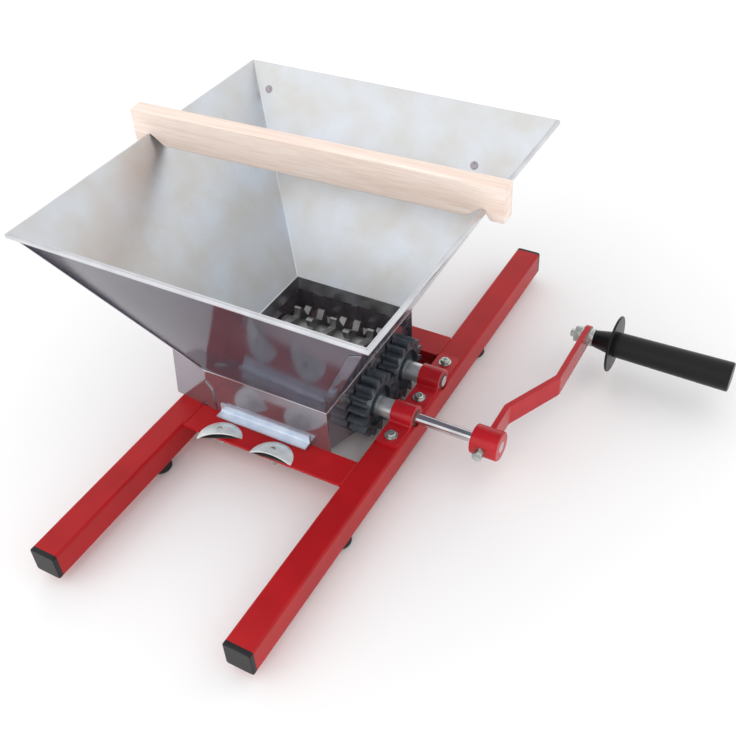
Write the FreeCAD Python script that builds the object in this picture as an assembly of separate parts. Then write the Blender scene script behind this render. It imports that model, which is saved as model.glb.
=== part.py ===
# Hand-cranked apple scratter: red tube frame, stainless hopper and housing, two geared
# toothed rollers, crank with a spinning grip, and a notched wooden bar across the hopper.
# X runs along the shafts towards the crank, Y along the rails away from the front, Z up.
# Millimetres. The origin is the bottom centre of the whole machine's bounding box.
import FreeCAD
import Part

import math
import os

V = FreeCAD.Vector
X_AXIS = V(1, 0, 0)
Y_AXIS = V(0, 1, 0)
Z_AXIS = V(0, 0, 1)

# Frame
TUBE = 30.0
TUBE_WALL = 2.0
TUBE_CORNER = 3.0
RAIL_LENGTH = 650.0
RAIL_SPACING = 225.0
CAP_HEAD = 5.0
CAP_ROUNDING = 1.5
PLUG_LENGTH = 14.0
PLUG_WALL = 2.0
PLUG_PLAY = 0.1
FOOT_HEIGHT = 12.0
FOOT_RADIUS = 13.0
FOOT_TAPER = 2.0
FOOT_ROUNDING = 2.5
FOOT_HOLE_R = 3.2
FOOT_RECESS_R = 7.0
FOOT_RECESS = 4.0
FOOT_SCREW_HEAD_Z = 1.0
SCREW_IN_RAIL = 6.0
FOOT_Y = 160.0
BAR_WIDTH = 35.0
BAR_THICK = 3.0
BAR_OUTER_Y = 127.5

# Shafts, bearings and gears
SHAFT_R = 6.0
RUNNING_GAP = 0.05
BUSH_R = 10.0
SHAFT_ABOVE_RAIL = 6.0
GEAR_MODULE = 4.0
GEAR_TEETH = 16
GEAR_WIDTH = 20.0
GEAR_HUB_R = 14.0
GEAR_RIM = 4.0
GEAR_RECESS = 5.0
PRESSURE_ANGLE = math.radians(25.0)
BACKLASH = 0.4
SLEEVE_R = 10.7
SLEEVE_RELIEF = 0.6
COLLAR_LENGTH = 9.0
DRIVE_Y = -14.0
STRAP_WIDTH = 25.0
STRAP_THICK = 3.0
STRAP_END = 13.0
STRAP_FOLD = 2.5
STRAP_CORNER = 4.0
STRAP_SCREW_TIP = 9.0
SCREW_LEAD = 32.5
END_GAP = 0.3
KEY = 4.0
KEY_IN_SHAFT = 2.5
KEY_IN_GEAR = 1.5
KEY_SHORTER = 2.0

# M6 fasteners
M6_R = 3.0
M6_HOLE_R = 3.1
M6_FLATS = 10.0
M6_HEAD = 4.0
M6_NUT = 4.5
WASHER_R = 7.0
WASHER_THICK = 1.2
PAN_HEAD_R = 5.2
PAN_HEAD = 3.8
PAN_ROUNDING = 1.8
CROSS_SLOT = 1.2
CROSS_SPAN = 6.0
CROSS_FLOOR = 2.2

# Toothed rollers
RING_TIP_R = 36.0
RING_WIDTH = 8.0
RING_PITCH = 24.0
RING_TEETH = 8
CORE_R = 19.0
ROLLER_X0 = -81.0
ROLLER_X1 = 56.0
FIRST_RING = 2.0
PIN_R = 2.5
PIN_BACK = 4.0
TOOTH_PROFILE = ((0.0, 11.0), (0.62, 1.5), (0.74, 0.0), (0.82, 1.0), (0.86, 11.0))

# Housing and hopper
SHEET = 1.5
HOUSING_X0 = -85.0
HOUSING_X1 = 66.0
RIGHT_PLATE_X = 60.0
PLATE_EDGE_DROP = 3.8
PLATE_LOW_RUN = 60.5
SHAFT_HOLE_R = 8.0
HOUSING_Y0 = -92.5
HOUSING_Y1 = 92.5
HOUSING_HEIGHT = 55.0
HOUSING_BOLT_XS = (-65.0, 44.0)
HOUSING_BOLT_UP = 14.0
SKIRT_BOLT_YS = (-57.7, 5.6)
SKIRT_BOLT_UP = 45.0
BOLT_PAST_WALL = 9.0
CLIP_Y0 = 55.0
CLIP_DROP = 25.0
HOPPER_SHEET = 1.2
RIM_ABOVE_RAIL = 248.0
RIM_CENTRE_X = -13.5
RIM_CENTRE_Y = 16.8
RIM_SIZE_X = 376.0
RIM_SIZE_Y = 400.0
HEM_HEIGHT = 4.5
HEM_THICK = 2.2
HEM_CORNER = 2.0
SKIRT_DEPTH = 16.0
TAB_THICK = 1.2
TAB_WIDTH = 11.0
TAB_TOP = 232.0
TAB_LOW = 88.0
TAB_TRIM_TOP = 8.0
TAB_TRIM_LOW = 12.0
COVER_X0 = -134.5
COVER_LEAN = 7.0
COVER_BACK = 4.5
COVER_TAB = 14.0
COVER_HEIGHT = 66.0
NOTCH_HEIGHT = 9.0
NOTCH_DEPTH = 12.5

# Crank and grip
CRANK_LENGTH = 204.0
HUB_R = 16.0
HUB_X0 = 192.0
HUB_X1 = 222.0
HUB_ROUNDING = 1.5
HUB_FLAT = 1.0
SET_BOLT_X = 205.0
SET_NUT = 5.0
ARM_WIDTH = 25.0
ARM_THICK = 6.0
ARM_X_HUB = 208.0
ARM_X_GRIP = 239.0
ARM_BEND_Y0 = 32.0
ARM_BEND_Y1 = 98.0
ARM_BEND_R = 9.0
SPINDLE_R = 5.0
COLLAR_R = 10.0
SPINDLE_PAST_ARM = 15.0
SPINDLE_IN_GRIP = 25.0
SPINDLE_FLATS = 17.0
SPINDLE_NUT = 8.0
SPINDLE_WASHER_R = 10.5
SPINDLE_WASHER = 2.0
GUARD_R = 32.5
GUARD_NECK_R = 13.5
GUARD_EDGE = 1.4
GUARD_TAPER = 0.5
GRIP_X0 = 248.3
GRIP_X1 = 401.0
GUARD_START = 21.5
GRIP_R0 = 14.5
GRIP_R1 = 16.5
GRIP_END_R = 2.0

# Wooden bar
WOOD_X0 = -220.5
WOOD_X1 = 194.5
WOOD_HEIGHT = 36.0
WOOD_THICK = 18.0
WOOD_BELOW_RIM = 11.0
WOOD_CENTRE_Y = 36.2
WOOD_SKEW = 1.7
NOTCH_PLAY = 4.0
NOTCH_SLOPE = 20.0
SEAT_GAP = 0.3

# Half-round clamp caps on the front bar
CAP_R = 24.5
CAP_DOME = 8.0
CAP_SHEET = 1.5
CAP_BOLT_BACK = 8.0
CAP_Y = -120.5
CAP_SEAT = 4.0
CAP_BOSS_R = 6.5
CAP_BOLT_HEAD = 3.2
CAP_BOLT_TIP = 14.0
CAP_PLACES = (("left", -53.0, 25.0), ("right", 14.0, 4.0))

# Scraper comb and the angle that holds it
COMB_X0 = -70.0
COMB_X1 = 42.0
COMB_THICK = 2.0
COMB_FRONT_Y = -102.6
COMB_CLEAR = 2.5
FINGER_CLEAR = 2.0
ANGLE_LIP = 0.6
ANGLE_HEIGHT = 11.0

# Worked out from the sizes above
RAIL_BASE = FOOT_HEIGHT
RAIL_TOP = RAIL_BASE + TUBE
RAIL_X = RAIL_SPACING / 2
RAIL_INNER_X = RAIL_X - TUBE / 2
BAR_INNER_Y = BAR_OUTER_Y - BAR_WIDTH
SHAFT_Z = RAIL_TOP + SHAFT_ABOVE_RAIL
PITCH_R = GEAR_MODULE * GEAR_TEETH / 2
DRIVEN_Y = DRIVE_Y + 2 * PITCH_R
HOUSING_TOP = RAIL_TOP + HOUSING_HEIGHT
GEAR_X0 = RIGHT_PLATE_X + 1.5
GEAR_X1 = GEAR_X0 + GEAR_WIDTH
STRAP_X0 = RAIL_X - STRAP_WIDTH / 2
STRAP_X1 = RAIL_X + STRAP_WIDTH / 2
RIM_TOP = RAIL_TOP + RIM_ABOVE_RAIL
GRIP_Y = DRIVE_Y + CRANK_LENGTH
HOUSING_FOOT = RAIL_BASE + 2.0
HOUSING_BOLT_Z = RAIL_BASE + HOUSING_BOLT_UP
SKIRT_BOLT_Z = RAIL_TOP + SKIRT_BOLT_UP
SKIRT_FACES = ((RIGHT_PLATE_X, 1), (HOUSING_X0, -1))
GEAR_ROOT_R = PITCH_R - 1.25 * GEAR_MODULE
KEY_X0 = GEAR_X0 + KEY_SHORTER
KEY_X1 = GEAR_X1 - KEY_SHORTER
PIN_X = ROLLER_X1 - PIN_BACK
COMB_BODY_Y = DRIVE_Y - RING_TIP_R - COMB_CLEAR
COMB_TIP_Y = DRIVE_Y - CORE_R - FINGER_CLEAR
SCREW_YS = (DRIVE_Y - SCREW_LEAD, DRIVEN_Y - SCREW_LEAD, DRIVEN_Y - SCREW_LEAD + 2 * PITCH_R)
SKEW = math.radians(WOOD_SKEW)
WOOD_LEFT = (RIM_CENTRE_X - (RIM_CENTRE_X - WOOD_X0) * math.cos(SKEW)
             - WOOD_THICK / 2 * math.sin(SKEW))
MIDDLE_X = (WOOD_LEFT + GRIP_X1) / 2
SIDES = (("left", -1), ("right", 1))
ENDS = (("front", -1), ("rear", 1))
SHAFTS = (("drive", DRIVE_Y), ("driven", DRIVEN_Y))


def box(x0, x1, y0, y1, z0, z1):
    return Part.makeBox(x1 - x0, y1 - y0, z1 - z0, V(x0, y0, z0))


def rod_x(radius, x0, x1, y, z):
    return Part.makeCylinder(radius, x1 - x0, V(x0, y, z), X_AXIS)


def rod_y(radius, y0, y1, x, z):
    return Part.makeCylinder(radius, y1 - y0, V(x, y0, z), Y_AXIS)


def rod_z(radius, z0, z1, x, y):
    return Part.makeCylinder(radius, z1 - z0, V(x, y, z0), Z_AXIS)


def hexagon(across_flats, height, base, direction):
    corner = across_flats / math.sqrt(3)
    side = V(0, 0, 1) if abs(direction.z) < 0.5 else V(1, 0, 0)
    other = direction.cross(side)
    points = []
    for k in range(7):
        a = math.radians(60 * k)
        points.append(base + side * (corner * math.cos(a)) + other * (corner * math.sin(a)))
    return Part.Face(Part.makePolygon(points)).extrude(direction * height)


def prism_x(points, x0, x1):
    outline = [V(x0, y, z) for y, z in points]
    return Part.Face(Part.makePolygon(outline + outline[:1])).extrude(V(x1 - x0, 0, 0))


def fused(pieces):
    return pieces[0].multiFuse(pieces[1:]).removeSplitter() if len(pieces) > 1 else pieces[0]


def save(name, pieces):
    solids = pieces if isinstance(pieces, list) else [pieces]
    shape = solids[0].copy() if len(solids) == 1 else Part.makeCompound(solids)
    shape.translate(V(-MIDDLE_X, 0, 0))
    if shape.ShapeType != "Solid" and len(shape.Solids) == 1:
        shape = shape.Solids[0]
    shape.exportStep("parts/" + name + ".step")


def edges_along(shape, direction):
    found = []
    for edge in shape.Edges:
        if len(edge.Vertexes) != 2 or edge.Curve.TypeId != "Part::GeomLine":
            continue
        run = edge.Vertexes[1].Point - edge.Vertexes[0].Point
        if run.Length > 0 and abs(run.normalize().dot(direction)) > 0.999:
            found.append(edge)
    return found


# Frame

def rail(side):
    x = side * RAIL_X
    half = TUBE / 2
    outer = box(x - half, x + half, -RAIL_LENGTH / 2, RAIL_LENGTH / 2, RAIL_BASE, RAIL_TOP)
    outer = outer.makeFillet(TUBE_CORNER, edges_along(outer, Y_AXIS))
    inner_half = half - TUBE_WALL
    hollow = box(x - inner_half, x + inner_half, -RAIL_LENGTH / 2 - 1, RAIL_LENGTH / 2 + 1,
                 RAIL_BASE + TUBE_WALL, RAIL_TOP - TUBE_WALL)
    tube = outer.cut(hollow)
    for y in SCREW_YS:
        tube = tube.cut(rod_z(M6_HOLE_R, RAIL_TOP - 4, RAIL_TOP + 1, x, y))
    for _, end in ENDS:
        tube = tube.cut(rod_z(M6_HOLE_R, RAIL_BASE - 1, RAIL_BASE + 4, x, end * FOOT_Y))
    relief_ends = sorted((side * (RAIL_INNER_X - 1), side * STRAP_X0))
    for _, y in SHAFTS:
        tube = tube.cut(rod_x(BUSH_R, x - half - 1, x + half + 1, y, SHAFT_Z))
        tube = tube.cut(rod_x(SLEEVE_R + SLEEVE_RELIEF, *relief_ends, y, SHAFT_Z))
    return tube


def end_cap(side, end):
    x = side * RAIL_X
    half = TUBE / 2
    y0 = RAIL_LENGTH / 2
    head = box(x - half, x + half, y0, y0 + CAP_HEAD, RAIL_BASE, RAIL_TOP)
    head = head.makeFillet(TUBE_CORNER, edges_along(head, Y_AXIS))
    outer_rim = [e for e in head.Edges if min(v.Point.y for v in e.Vertexes) > y0 + CAP_HEAD - 0.1]
    head = head.makeFillet(CAP_ROUNDING, outer_rim)
    middle = (RAIL_BASE + RAIL_TOP) / 2
    plug_half = half - TUBE_WALL - PLUG_PLAY
    plug = box(x - plug_half, x + plug_half, y0 - PLUG_LENGTH, y0,
               middle - plug_half, middle + plug_half)
    core_half = plug_half - PLUG_WALL
    core = box(x - core_half, x + core_half, y0 - PLUG_LENGTH - 1, y0 - PLUG_WALL,
               middle - core_half, middle + core_half)
    cap = head.fuse(plug.cut(core)).removeSplitter()
    return cap if end > 0 else cap.mirror(V(0, 0, 0), Y_AXIS)


def rubber_foot(side, end):
    x = side * RAIL_X
    y = end * FOOT_Y
    seat = V(FOOT_HOLE_R, 0, FOOT_RECESS)
    sole = V(FOOT_RADIUS - FOOT_ROUNDING, 0, 0)
    bulge = V(FOOT_RADIUS, 0, FOOT_ROUNDING)
    low = Part.makePolygon([seat, V(FOOT_RECESS_R, 0, FOOT_RECESS), V(FOOT_RECESS_R, 0, 0), sole])
    diagonal = FOOT_ROUNDING * math.sqrt(0.5)
    between = sole + V(diagonal, 0, FOOT_ROUNDING - diagonal)
    curve = Part.Arc(sole, between, bulge).toShape()
    top = Part.makePolygon([bulge, V(FOOT_RADIUS - FOOT_TAPER, 0, FOOT_HEIGHT),
                            V(FOOT_HOLE_R, 0, FOOT_HEIGHT), seat])
    foot = Part.Face(Part.Wire(low.Edges + [curve] + top.Edges)).revolve(V(0, 0, 0), Z_AXIS, 360)
    foot.translate(V(x, y, 0))
    return foot


def foot_screws():
    screws = []
    for _, side in SIDES:
        for _, end in ENDS:
            x = side * RAIL_X
            y = end * FOOT_Y
            head = rod_z(PAN_HEAD_R, FOOT_SCREW_HEAD_Z, FOOT_RECESS, x, y)
            shank = rod_z(M6_R, FOOT_SCREW_HEAD_Z + 1, RAIL_BASE + SCREW_IN_RAIL, x, y)
            screws.append(fused([head, shank]))
    return screws


def cross_bar(end):
    y_out = end * BAR_OUTER_Y
    y_in = end * BAR_INNER_Y
    leg = end * (BAR_INNER_Y + BAR_THICK)
    flange = box(-RAIL_INNER_X, RAIL_INNER_X, min(y_out, y_in), max(y_out, y_in),
                 RAIL_TOP - BAR_THICK, RAIL_TOP)
    web = box(-RAIL_INNER_X, RAIL_INNER_X, min(y_in, leg), max(y_in, leg), RAIL_BASE, RAIL_TOP)
    bar = fused([flange, web])
    if end < 0:
        for _, x, _ in CAP_PLACES:
            bar = bar.cut(rod_z(M6_HOLE_R, RAIL_TOP - 4, RAIL_TOP + 1, x, CAP_Y))
    for x in HOUSING_BOLT_XS:
        bar = bar.cut(rod_y(M6_HOLE_R, -BAR_OUTER_Y, BAR_OUTER_Y, x, HOUSING_BOLT_Z))
    return bar


# Bearings

def bearing_strap(side):
    x0 = STRAP_X0 if side > 0 else -STRAP_X1
    x1 = x0 + STRAP_WIDTH
    y0 = SCREW_YS[0] - STRAP_END
    y1 = SCREW_YS[-1] + STRAP_END
    strap = box(x0, x1, y0, y1, RAIL_TOP, RAIL_TOP + STRAP_THICK)
    outer_r = BUSH_R + STRAP_THICK
    for _, y in SHAFTS:
        arch = fused([rod_x(outer_r, x0, x1, y, SHAFT_Z),
                      box(x0, x1, y - outer_r, y + outer_r, RAIL_TOP, SHAFT_Z)])
        below = box(x0, x1, y - outer_r, y + outer_r, RAIL_TOP - outer_r, RAIL_TOP)
        strap = strap.fuse(arch).cut(below)
    strap = strap.removeSplitter()
    folds = [e for e in edges_along(strap, X_AXIS)
             if abs(e.Vertexes[0].Point.z - RAIL_TOP - STRAP_THICK) < 0.01
             and min(abs(abs(e.Vertexes[0].Point.y - y) - outer_r) for _, y in SHAFTS) < 0.01]
    strap = strap.makeFillet(STRAP_FOLD, folds)
    for _, y in SHAFTS:
        strap = strap.cut(rod_x(BUSH_R, x0 - 1, x1 + 1, y, SHAFT_Z))
        strap = strap.cut(box(x0 - 1, x1 + 1, y - BUSH_R, y + BUSH_R, RAIL_TOP - 1, SHAFT_Z))
    x_mid = (x0 + x1) / 2
    for y in SCREW_YS:
        strap = strap.cut(rod_z(M6_HOLE_R, RAIL_TOP - 1, RAIL_TOP + 4, x_mid, y))
    corners = [e for e in edges_along(strap, Z_AXIS)
               if min(abs(e.Vertexes[0].Point.y - y0), abs(e.Vertexes[0].Point.y - y1)) < 0.01]
    return strap.makeFillet(STRAP_CORNER, corners)


def strap_screws():
    screws = []
    seat = RAIL_TOP + STRAP_THICK + WASHER_THICK
    narrow = CROSS_SLOT / 2
    half_span = CROSS_SPAN / 2
    for _, side in SIDES:
        for y in SCREW_YS:
            x = side * RAIL_X
            head = rod_z(PAN_HEAD_R, seat, seat + PAN_HEAD, x, y)
            head = head.makeFillet(PAN_ROUNDING, [head.Edges[0]])
            floor = seat + CROSS_FLOOR
            slot = fused([box(x - half_span, x + half_span, y - narrow, y + narrow, floor, seat + 5),
                          box(x - narrow, x + narrow, y - half_span, y + half_span, floor, seat + 5)])
            screws.append(fused([head.cut(slot), rod_z(M6_R, RAIL_TOP - STRAP_SCREW_TIP, seat, x, y)]))
    return screws


def strap_washers():
    washers = []
    seat = RAIL_TOP + STRAP_THICK
    for _, side in SIDES:
        for y in SCREW_YS:
            x = side * RAIL_X
            washer = rod_z(WASHER_R, seat, seat + WASHER_THICK, x, y)
            washers.append(washer.cut(rod_z(M6_HOLE_R, seat - 1, seat + 2, x, y)))
    return washers


def bearing_bush(side, y):
    x0 = side * RAIL_X - STRAP_WIDTH / 2
    x1 = x0 + STRAP_WIDTH
    bore = rod_x(SHAFT_R + RUNNING_GAP, x0 - 1, x1 + 1, y, SHAFT_Z)
    return rod_x(BUSH_R, x0, x1, y, SHAFT_Z).cut(bore)


# Housing

def housing_front_wall():
    wall = box(HOUSING_X0, HOUSING_X1, HOUSING_Y0, HOUSING_Y0 + SHEET, HOUSING_FOOT, HOUSING_TOP)
    slot = box(COMB_X0 - 1, COMB_X1 + 1, HOUSING_Y0 - 1, HOUSING_Y0 + SHEET + 1,
               RAIL_TOP - 0.1, RAIL_TOP + COMB_THICK + 0.3)
    wall = wall.cut(slot)
    for x in HOUSING_BOLT_XS:
        wall = wall.cut(rod_y(M6_HOLE_R, HOUSING_Y0 - 1, HOUSING_Y0 + 3, x, HOUSING_BOLT_Z))
    return wall


def housing_rear_wall():
    wall = box(HOUSING_X0, HOUSING_X1, HOUSING_Y1 - SHEET, HOUSING_Y1, HOUSING_FOOT, HOUSING_TOP)
    for x in HOUSING_BOLT_XS:
        wall = wall.cut(rod_y(M6_HOLE_R, HOUSING_Y1 - 3, HOUSING_Y1 + 1, x, HOUSING_BOLT_Z))
    return wall


def rear_clip():
    outline = [(CLIP_Y0, HOUSING_TOP), (HOUSING_Y1 - SHEET, HOUSING_TOP - CLIP_DROP),
               (HOUSING_Y1 - SHEET, HOUSING_TOP)]
    return prism_x(outline, RIGHT_PLATE_X - 4, RIGHT_PLATE_X + 1)


def housing_side_plate(side):
    x0 = RIGHT_PLATE_X - SHEET if side > 0 else HOUSING_X0
    y0 = HOUSING_Y0 + SHEET
    y1 = HOUSING_Y1 - SHEET
    edge = RAIL_TOP - PLATE_EDGE_DROP
    outline = [(y0, HOUSING_TOP), (y0, edge), (y0 + PLATE_LOW_RUN, HOUSING_FOOT),
               (y1 - PLATE_LOW_RUN, HOUSING_FOOT), (y1, edge), (y1, HOUSING_TOP)]
    plate = prism_x(outline, x0, x0 + SHEET)
    if side > 0:
        plate = plate.cut(rear_clip())
    for _, y in SHAFTS:
        plate = plate.cut(rod_x(SHAFT_HOLE_R, x0 - 1, x0 + SHEET + 1, y, SHAFT_Z))
    for y in SKIRT_BOLT_YS:
        plate = plate.cut(rod_x(M6_HOLE_R, x0 - 1, x0 + SHEET + 1, y, SKIRT_BOLT_Z))
    return plate


def housing_bolts():
    bolts = []
    for x in HOUSING_BOLT_XS:
        front_leg = -BAR_INNER_Y - BAR_THICK
        head = hexagon(M6_FLATS, M6_HEAD, V(x, front_leg, HOUSING_BOLT_Z), V(0, -1, 0))
        shank = rod_y(M6_R, front_leg, HOUSING_Y0 + BOLT_PAST_WALL, x, HOUSING_BOLT_Z)
        bolts.append(fused([head, shank]))
        rear_leg = BAR_INNER_Y + BAR_THICK
        head = hexagon(M6_FLATS, M6_HEAD, V(x, rear_leg, HOUSING_BOLT_Z), V(0, 1, 0))
        shank = rod_y(M6_R, HOUSING_Y1 - BOLT_PAST_WALL, rear_leg, x, HOUSING_BOLT_Z)
        bolts.append(fused([head, shank]))
    return bolts


def housing_nuts():
    nuts = []
    for x in HOUSING_BOLT_XS:
        for y, way in ((HOUSING_Y0 + SHEET, 1), (HOUSING_Y1 - SHEET, -1)):
            nut = hexagon(M6_FLATS, M6_NUT, V(x, y, HOUSING_BOLT_Z), V(0, way, 0))
            bore = rod_y(M6_R, min(y, y + way * 5), max(y, y + way * 5), x, HOUSING_BOLT_Z)
            nuts.append(nut.cut(bore))
    return nuts


def cover_block(inset, z0, z1):
    wires = []
    for z in (z0, z1):
        lean = COVER_LEAN * (z - RAIL_TOP) / COVER_HEIGHT
        x_out = COVER_X0 + inset + lean
        y_out = HOUSING_Y1 - COVER_BACK - inset
        y_in = HOUSING_Y1 - inset
        points = [V(x_out, -y_out, z), V(HOUSING_X0, -y_in, z), V(HOUSING_X0, y_in, z),
                  V(x_out, y_out, z)]
        wires.append(Part.makePolygon(points + points[:1]))
    return Part.makeLoft(wires, True, True)


def left_bearing_cover():
    top = RAIL_TOP + COVER_HEIGHT
    cover = cover_block(0, RAIL_TOP, top).cut(cover_block(SHEET, RAIL_TOP - 1, top - SHEET))
    tabs = []
    for _, end in ENDS:
        y0 = end * (HOUSING_Y1 - SHEET)
        y1 = end * (HOUSING_Y1 - COVER_TAB)
        tabs.append(box(HOUSING_X0 - SHEET, HOUSING_X0, min(y0, y1), max(y0, y1),
                        RAIL_TOP, HOUSING_TOP))
    notch = box(-STRAP_X1 - 2, -STRAP_X0 + 2, HOUSING_Y1 - NOTCH_DEPTH, HOUSING_Y1 + 1,
                RAIL_TOP - 1, RAIL_TOP + NOTCH_HEIGHT)
    return fused([cover] + tabs).cut(notch).cut(frustum(0, 0, 0))


# Hopper

def frustum(grow_top, grow_bottom, z_extra):
    half_x = RIM_SIZE_X / 2 + grow_top
    half_y = RIM_SIZE_Y / 2 + grow_top
    top = [(RIM_CENTRE_X + sx * half_x, RIM_CENTRE_Y + sy * half_y)
           for sx, sy in ((-1, -1), (1, -1), (1, 1), (-1, 1))]
    low = [(HOUSING_X0 - grow_bottom, HOUSING_Y0 - grow_bottom),
           (HOUSING_X1 + grow_bottom, HOUSING_Y0 - grow_bottom),
           (HOUSING_X1 + grow_bottom, HOUSING_Y1 + grow_bottom),
           (HOUSING_X0 - grow_bottom, HOUSING_Y1 + grow_bottom)]
    wires = []
    for corners, z in ((low, HOUSING_TOP - z_extra), (top, RIM_TOP + z_extra)):
        points = [V(x, y, z) for x, y in corners]
        wires.append(Part.makePolygon(points + points[:1]))
    return Part.makeLoft(wires, True, True)


def corner_x(height):
    rise = (height - HOUSING_HEIGHT) / (RIM_ABOVE_RAIL - HOUSING_HEIGHT)
    return HOUSING_X1 + rise * (RIM_CENTRE_X + RIM_SIZE_X / 2 - HOUSING_X1)


def corner_tab():
    outline = [(corner_x(TAB_TOP), TAB_TOP),
               (corner_x(TAB_TOP - TAB_TRIM_TOP) - TAB_WIDTH, TAB_TOP - TAB_TRIM_TOP),
               (corner_x(TAB_LOW + TAB_TRIM_LOW) - TAB_WIDTH, TAB_LOW + TAB_TRIM_LOW),
               (corner_x(TAB_LOW), TAB_LOW)]
    points = [V(x, RIM_CENTRE_Y - RIM_SIZE_Y, RAIL_TOP + height) for x, height in outline]
    region = Part.Face(Part.makePolygon(points + points[:1])).extrude(V(0, RIM_SIZE_Y, 0))
    skin = frustum(TAB_THICK, TAB_THICK, 0).cut(frustum(-0.5, -0.5, 0))
    return skin.common(region)


def hopper_shell():
    shell = frustum(0, 0, 0).cut(frustum(-HOPPER_SHEET * 1.1, -HOPPER_SHEET * 1.1, 0.001))
    half_x = RIM_SIZE_X / 2
    half_y = RIM_SIZE_Y / 2
    hem = box(RIM_CENTRE_X - half_x - HEM_THICK, RIM_CENTRE_X + half_x + HEM_THICK,
              RIM_CENTRE_Y - half_y - HEM_THICK, RIM_CENTRE_Y + half_y + HEM_THICK,
              RIM_TOP - HEM_HEIGHT, RIM_TOP)
    hem = hem.makeFillet(HEM_CORNER, edges_along(hem, Z_AXIS))
    hem = hem.cut(frustum(-0.3, -0.3, 0.001))
    x0 = HOUSING_X0 + SHEET
    x1 = RIGHT_PLATE_X - SHEET
    y0 = HOUSING_Y0 + SHEET
    y1 = HOUSING_Y1 - SHEET
    ledge = box(HOUSING_X0, HOUSING_X1, HOUSING_Y0, HOUSING_Y1,
                HOUSING_TOP, HOUSING_TOP + HOPPER_SHEET)
    skirt = box(x0, x1, y0, y1, HOUSING_TOP - SKIRT_DEPTH, HOUSING_TOP).cut(rear_clip())
    throat = box(x0 + HOPPER_SHEET, x1 - HOPPER_SHEET, y0 + HOPPER_SHEET,
                 y1 - HOPPER_SHEET, HOUSING_TOP - SKIRT_DEPTH - 1, HOUSING_TOP + 2)
    hopper = fused([shell, hem, fused([ledge, skirt]).cut(throat), corner_tab()])
    for y in SKIRT_BOLT_YS:
        hopper = hopper.cut(rod_x(M6_HOLE_R, x0 - 1, x1 + 1, y, SKIRT_BOLT_Z))
    return hopper


def skirt_bolts():
    bolts = []
    for x_face, way in SKIRT_FACES:
        for y in SKIRT_BOLT_YS:
            head = hexagon(M6_FLATS, M6_HEAD, V(x_face, y, SKIRT_BOLT_Z), V(way, 0, 0))
            x_in = x_face - way * BOLT_PAST_WALL
            shank = rod_x(M6_R, min(x_in, x_face), max(x_in, x_face), y, SKIRT_BOLT_Z)
            bolts.append(fused([head, shank]))
    return bolts


def skirt_nuts():
    nuts = []
    for x_face, way in SKIRT_FACES:
        base = x_face - way * (SHEET + HOPPER_SHEET)
        for y in SKIRT_BOLT_YS:
            nut = hexagon(M6_FLATS, M6_NUT, V(base, y, SKIRT_BOLT_Z), V(-way, 0, 0))
            end = base - way * 6
            nuts.append(nut.cut(rod_x(M6_R, min(base, end), max(base, end), y, SKIRT_BOLT_Z)))
    return nuts


# Scraper comb, clamp angle and half-round caps

def ring_places(first):
    places = []
    x = first
    while x + RING_WIDTH <= ROLLER_X1:
        places.append(x)
        x += RING_PITCH
    return places


def scraper_comb():
    comb = box(COMB_X0, COMB_X1, COMB_FRONT_Y, COMB_BODY_Y, RAIL_TOP, RAIL_TOP + COMB_THICK)
    fingers = []
    for x in ring_places(ROLLER_X0 + FIRST_RING):
        left = x + RING_WIDTH + FINGER_CLEAR
        right = x + RING_PITCH - FINGER_CLEAR
        if right < COMB_X1:
            fingers.append(box(left, right, COMB_BODY_Y - 1, COMB_TIP_Y, RAIL_TOP,
                               RAIL_TOP + COMB_THICK))
    return fused([comb] + fingers)


def clamp_angle():
    z0 = RAIL_TOP + COMB_THICK
    y0 = COMB_FRONT_Y - ANGLE_LIP
    y1 = HOUSING_Y0
    foot = box(COMB_X0, COMB_X1, y0, y1, z0, z0 + SHEET)
    leg = box(COMB_X0, COMB_X1, y1 - SHEET, y1, z0, z0 + ANGLE_HEIGHT)
    angle = fused([foot, leg])
    bend = [e for e in edges_along(angle, X_AXIS)
            if abs(e.Vertexes[0].Point.z - z0 - SHEET) < 0.01
            and abs(e.Vertexes[0].Point.y - y1 + SHEET) < 0.01]
    return angle.makeFillet(SHEET, bend)


def clamp_cap(x, turn):
    ball = (CAP_R ** 2 + CAP_DOME ** 2) / (2 * CAP_DOME)
    low = RAIL_TOP + CAP_DOME - ball
    centre_y = CAP_Y - CAP_BOLT_BACK
    outer = Part.makeSphere(ball, V(x, centre_y, low))
    inner = Part.makeSphere(ball - CAP_SHEET, V(x, centre_y, low))
    half = box(x - CAP_R - 5, x + CAP_R + 5, centre_y, centre_y + CAP_R + 5,
               RAIL_TOP, RAIL_TOP + CAP_DOME + 2)
    boss = rod_z(CAP_BOSS_R, RAIL_TOP, RAIL_TOP + CAP_SEAT, x, CAP_Y)
    cap = fused([outer.cut(inner).common(half), boss])
    cap = cap.cut(rod_z(CAP_BOSS_R, RAIL_TOP + CAP_SEAT, RAIL_TOP + CAP_DOME + 2, x, CAP_Y))
    cap = cap.cut(rod_z(M6_HOLE_R, RAIL_TOP - 1, RAIL_TOP + CAP_SEAT + 1, x, CAP_Y))
    cap.rotate(V(x, CAP_Y, 0), Z_AXIS, turn)
    return cap


def cap_bolts():
    bolts = []
    seat = RAIL_TOP + CAP_SEAT
    for _, x, _ in CAP_PLACES:
        head = rod_z(PAN_HEAD_R, seat, seat + CAP_BOLT_HEAD, x, CAP_Y)
        head = head.makeFillet(PAN_ROUNDING, [head.Edges[0]])
        bolts.append(fused([head, rod_z(M6_R, RAIL_TOP - CAP_BOLT_TIP, seat, x, CAP_Y)]))
    return bolts


def cap_nuts():
    nuts = []
    z = RAIL_TOP - BAR_THICK
    for _, x, _ in CAP_PLACES:
        nut = hexagon(M6_FLATS, M6_NUT, V(x, CAP_Y, z), V(0, 0, -1))
        nuts.append(nut.cut(rod_z(M6_R, z - 6, z + 1, x, CAP_Y)))
    return nuts


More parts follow.
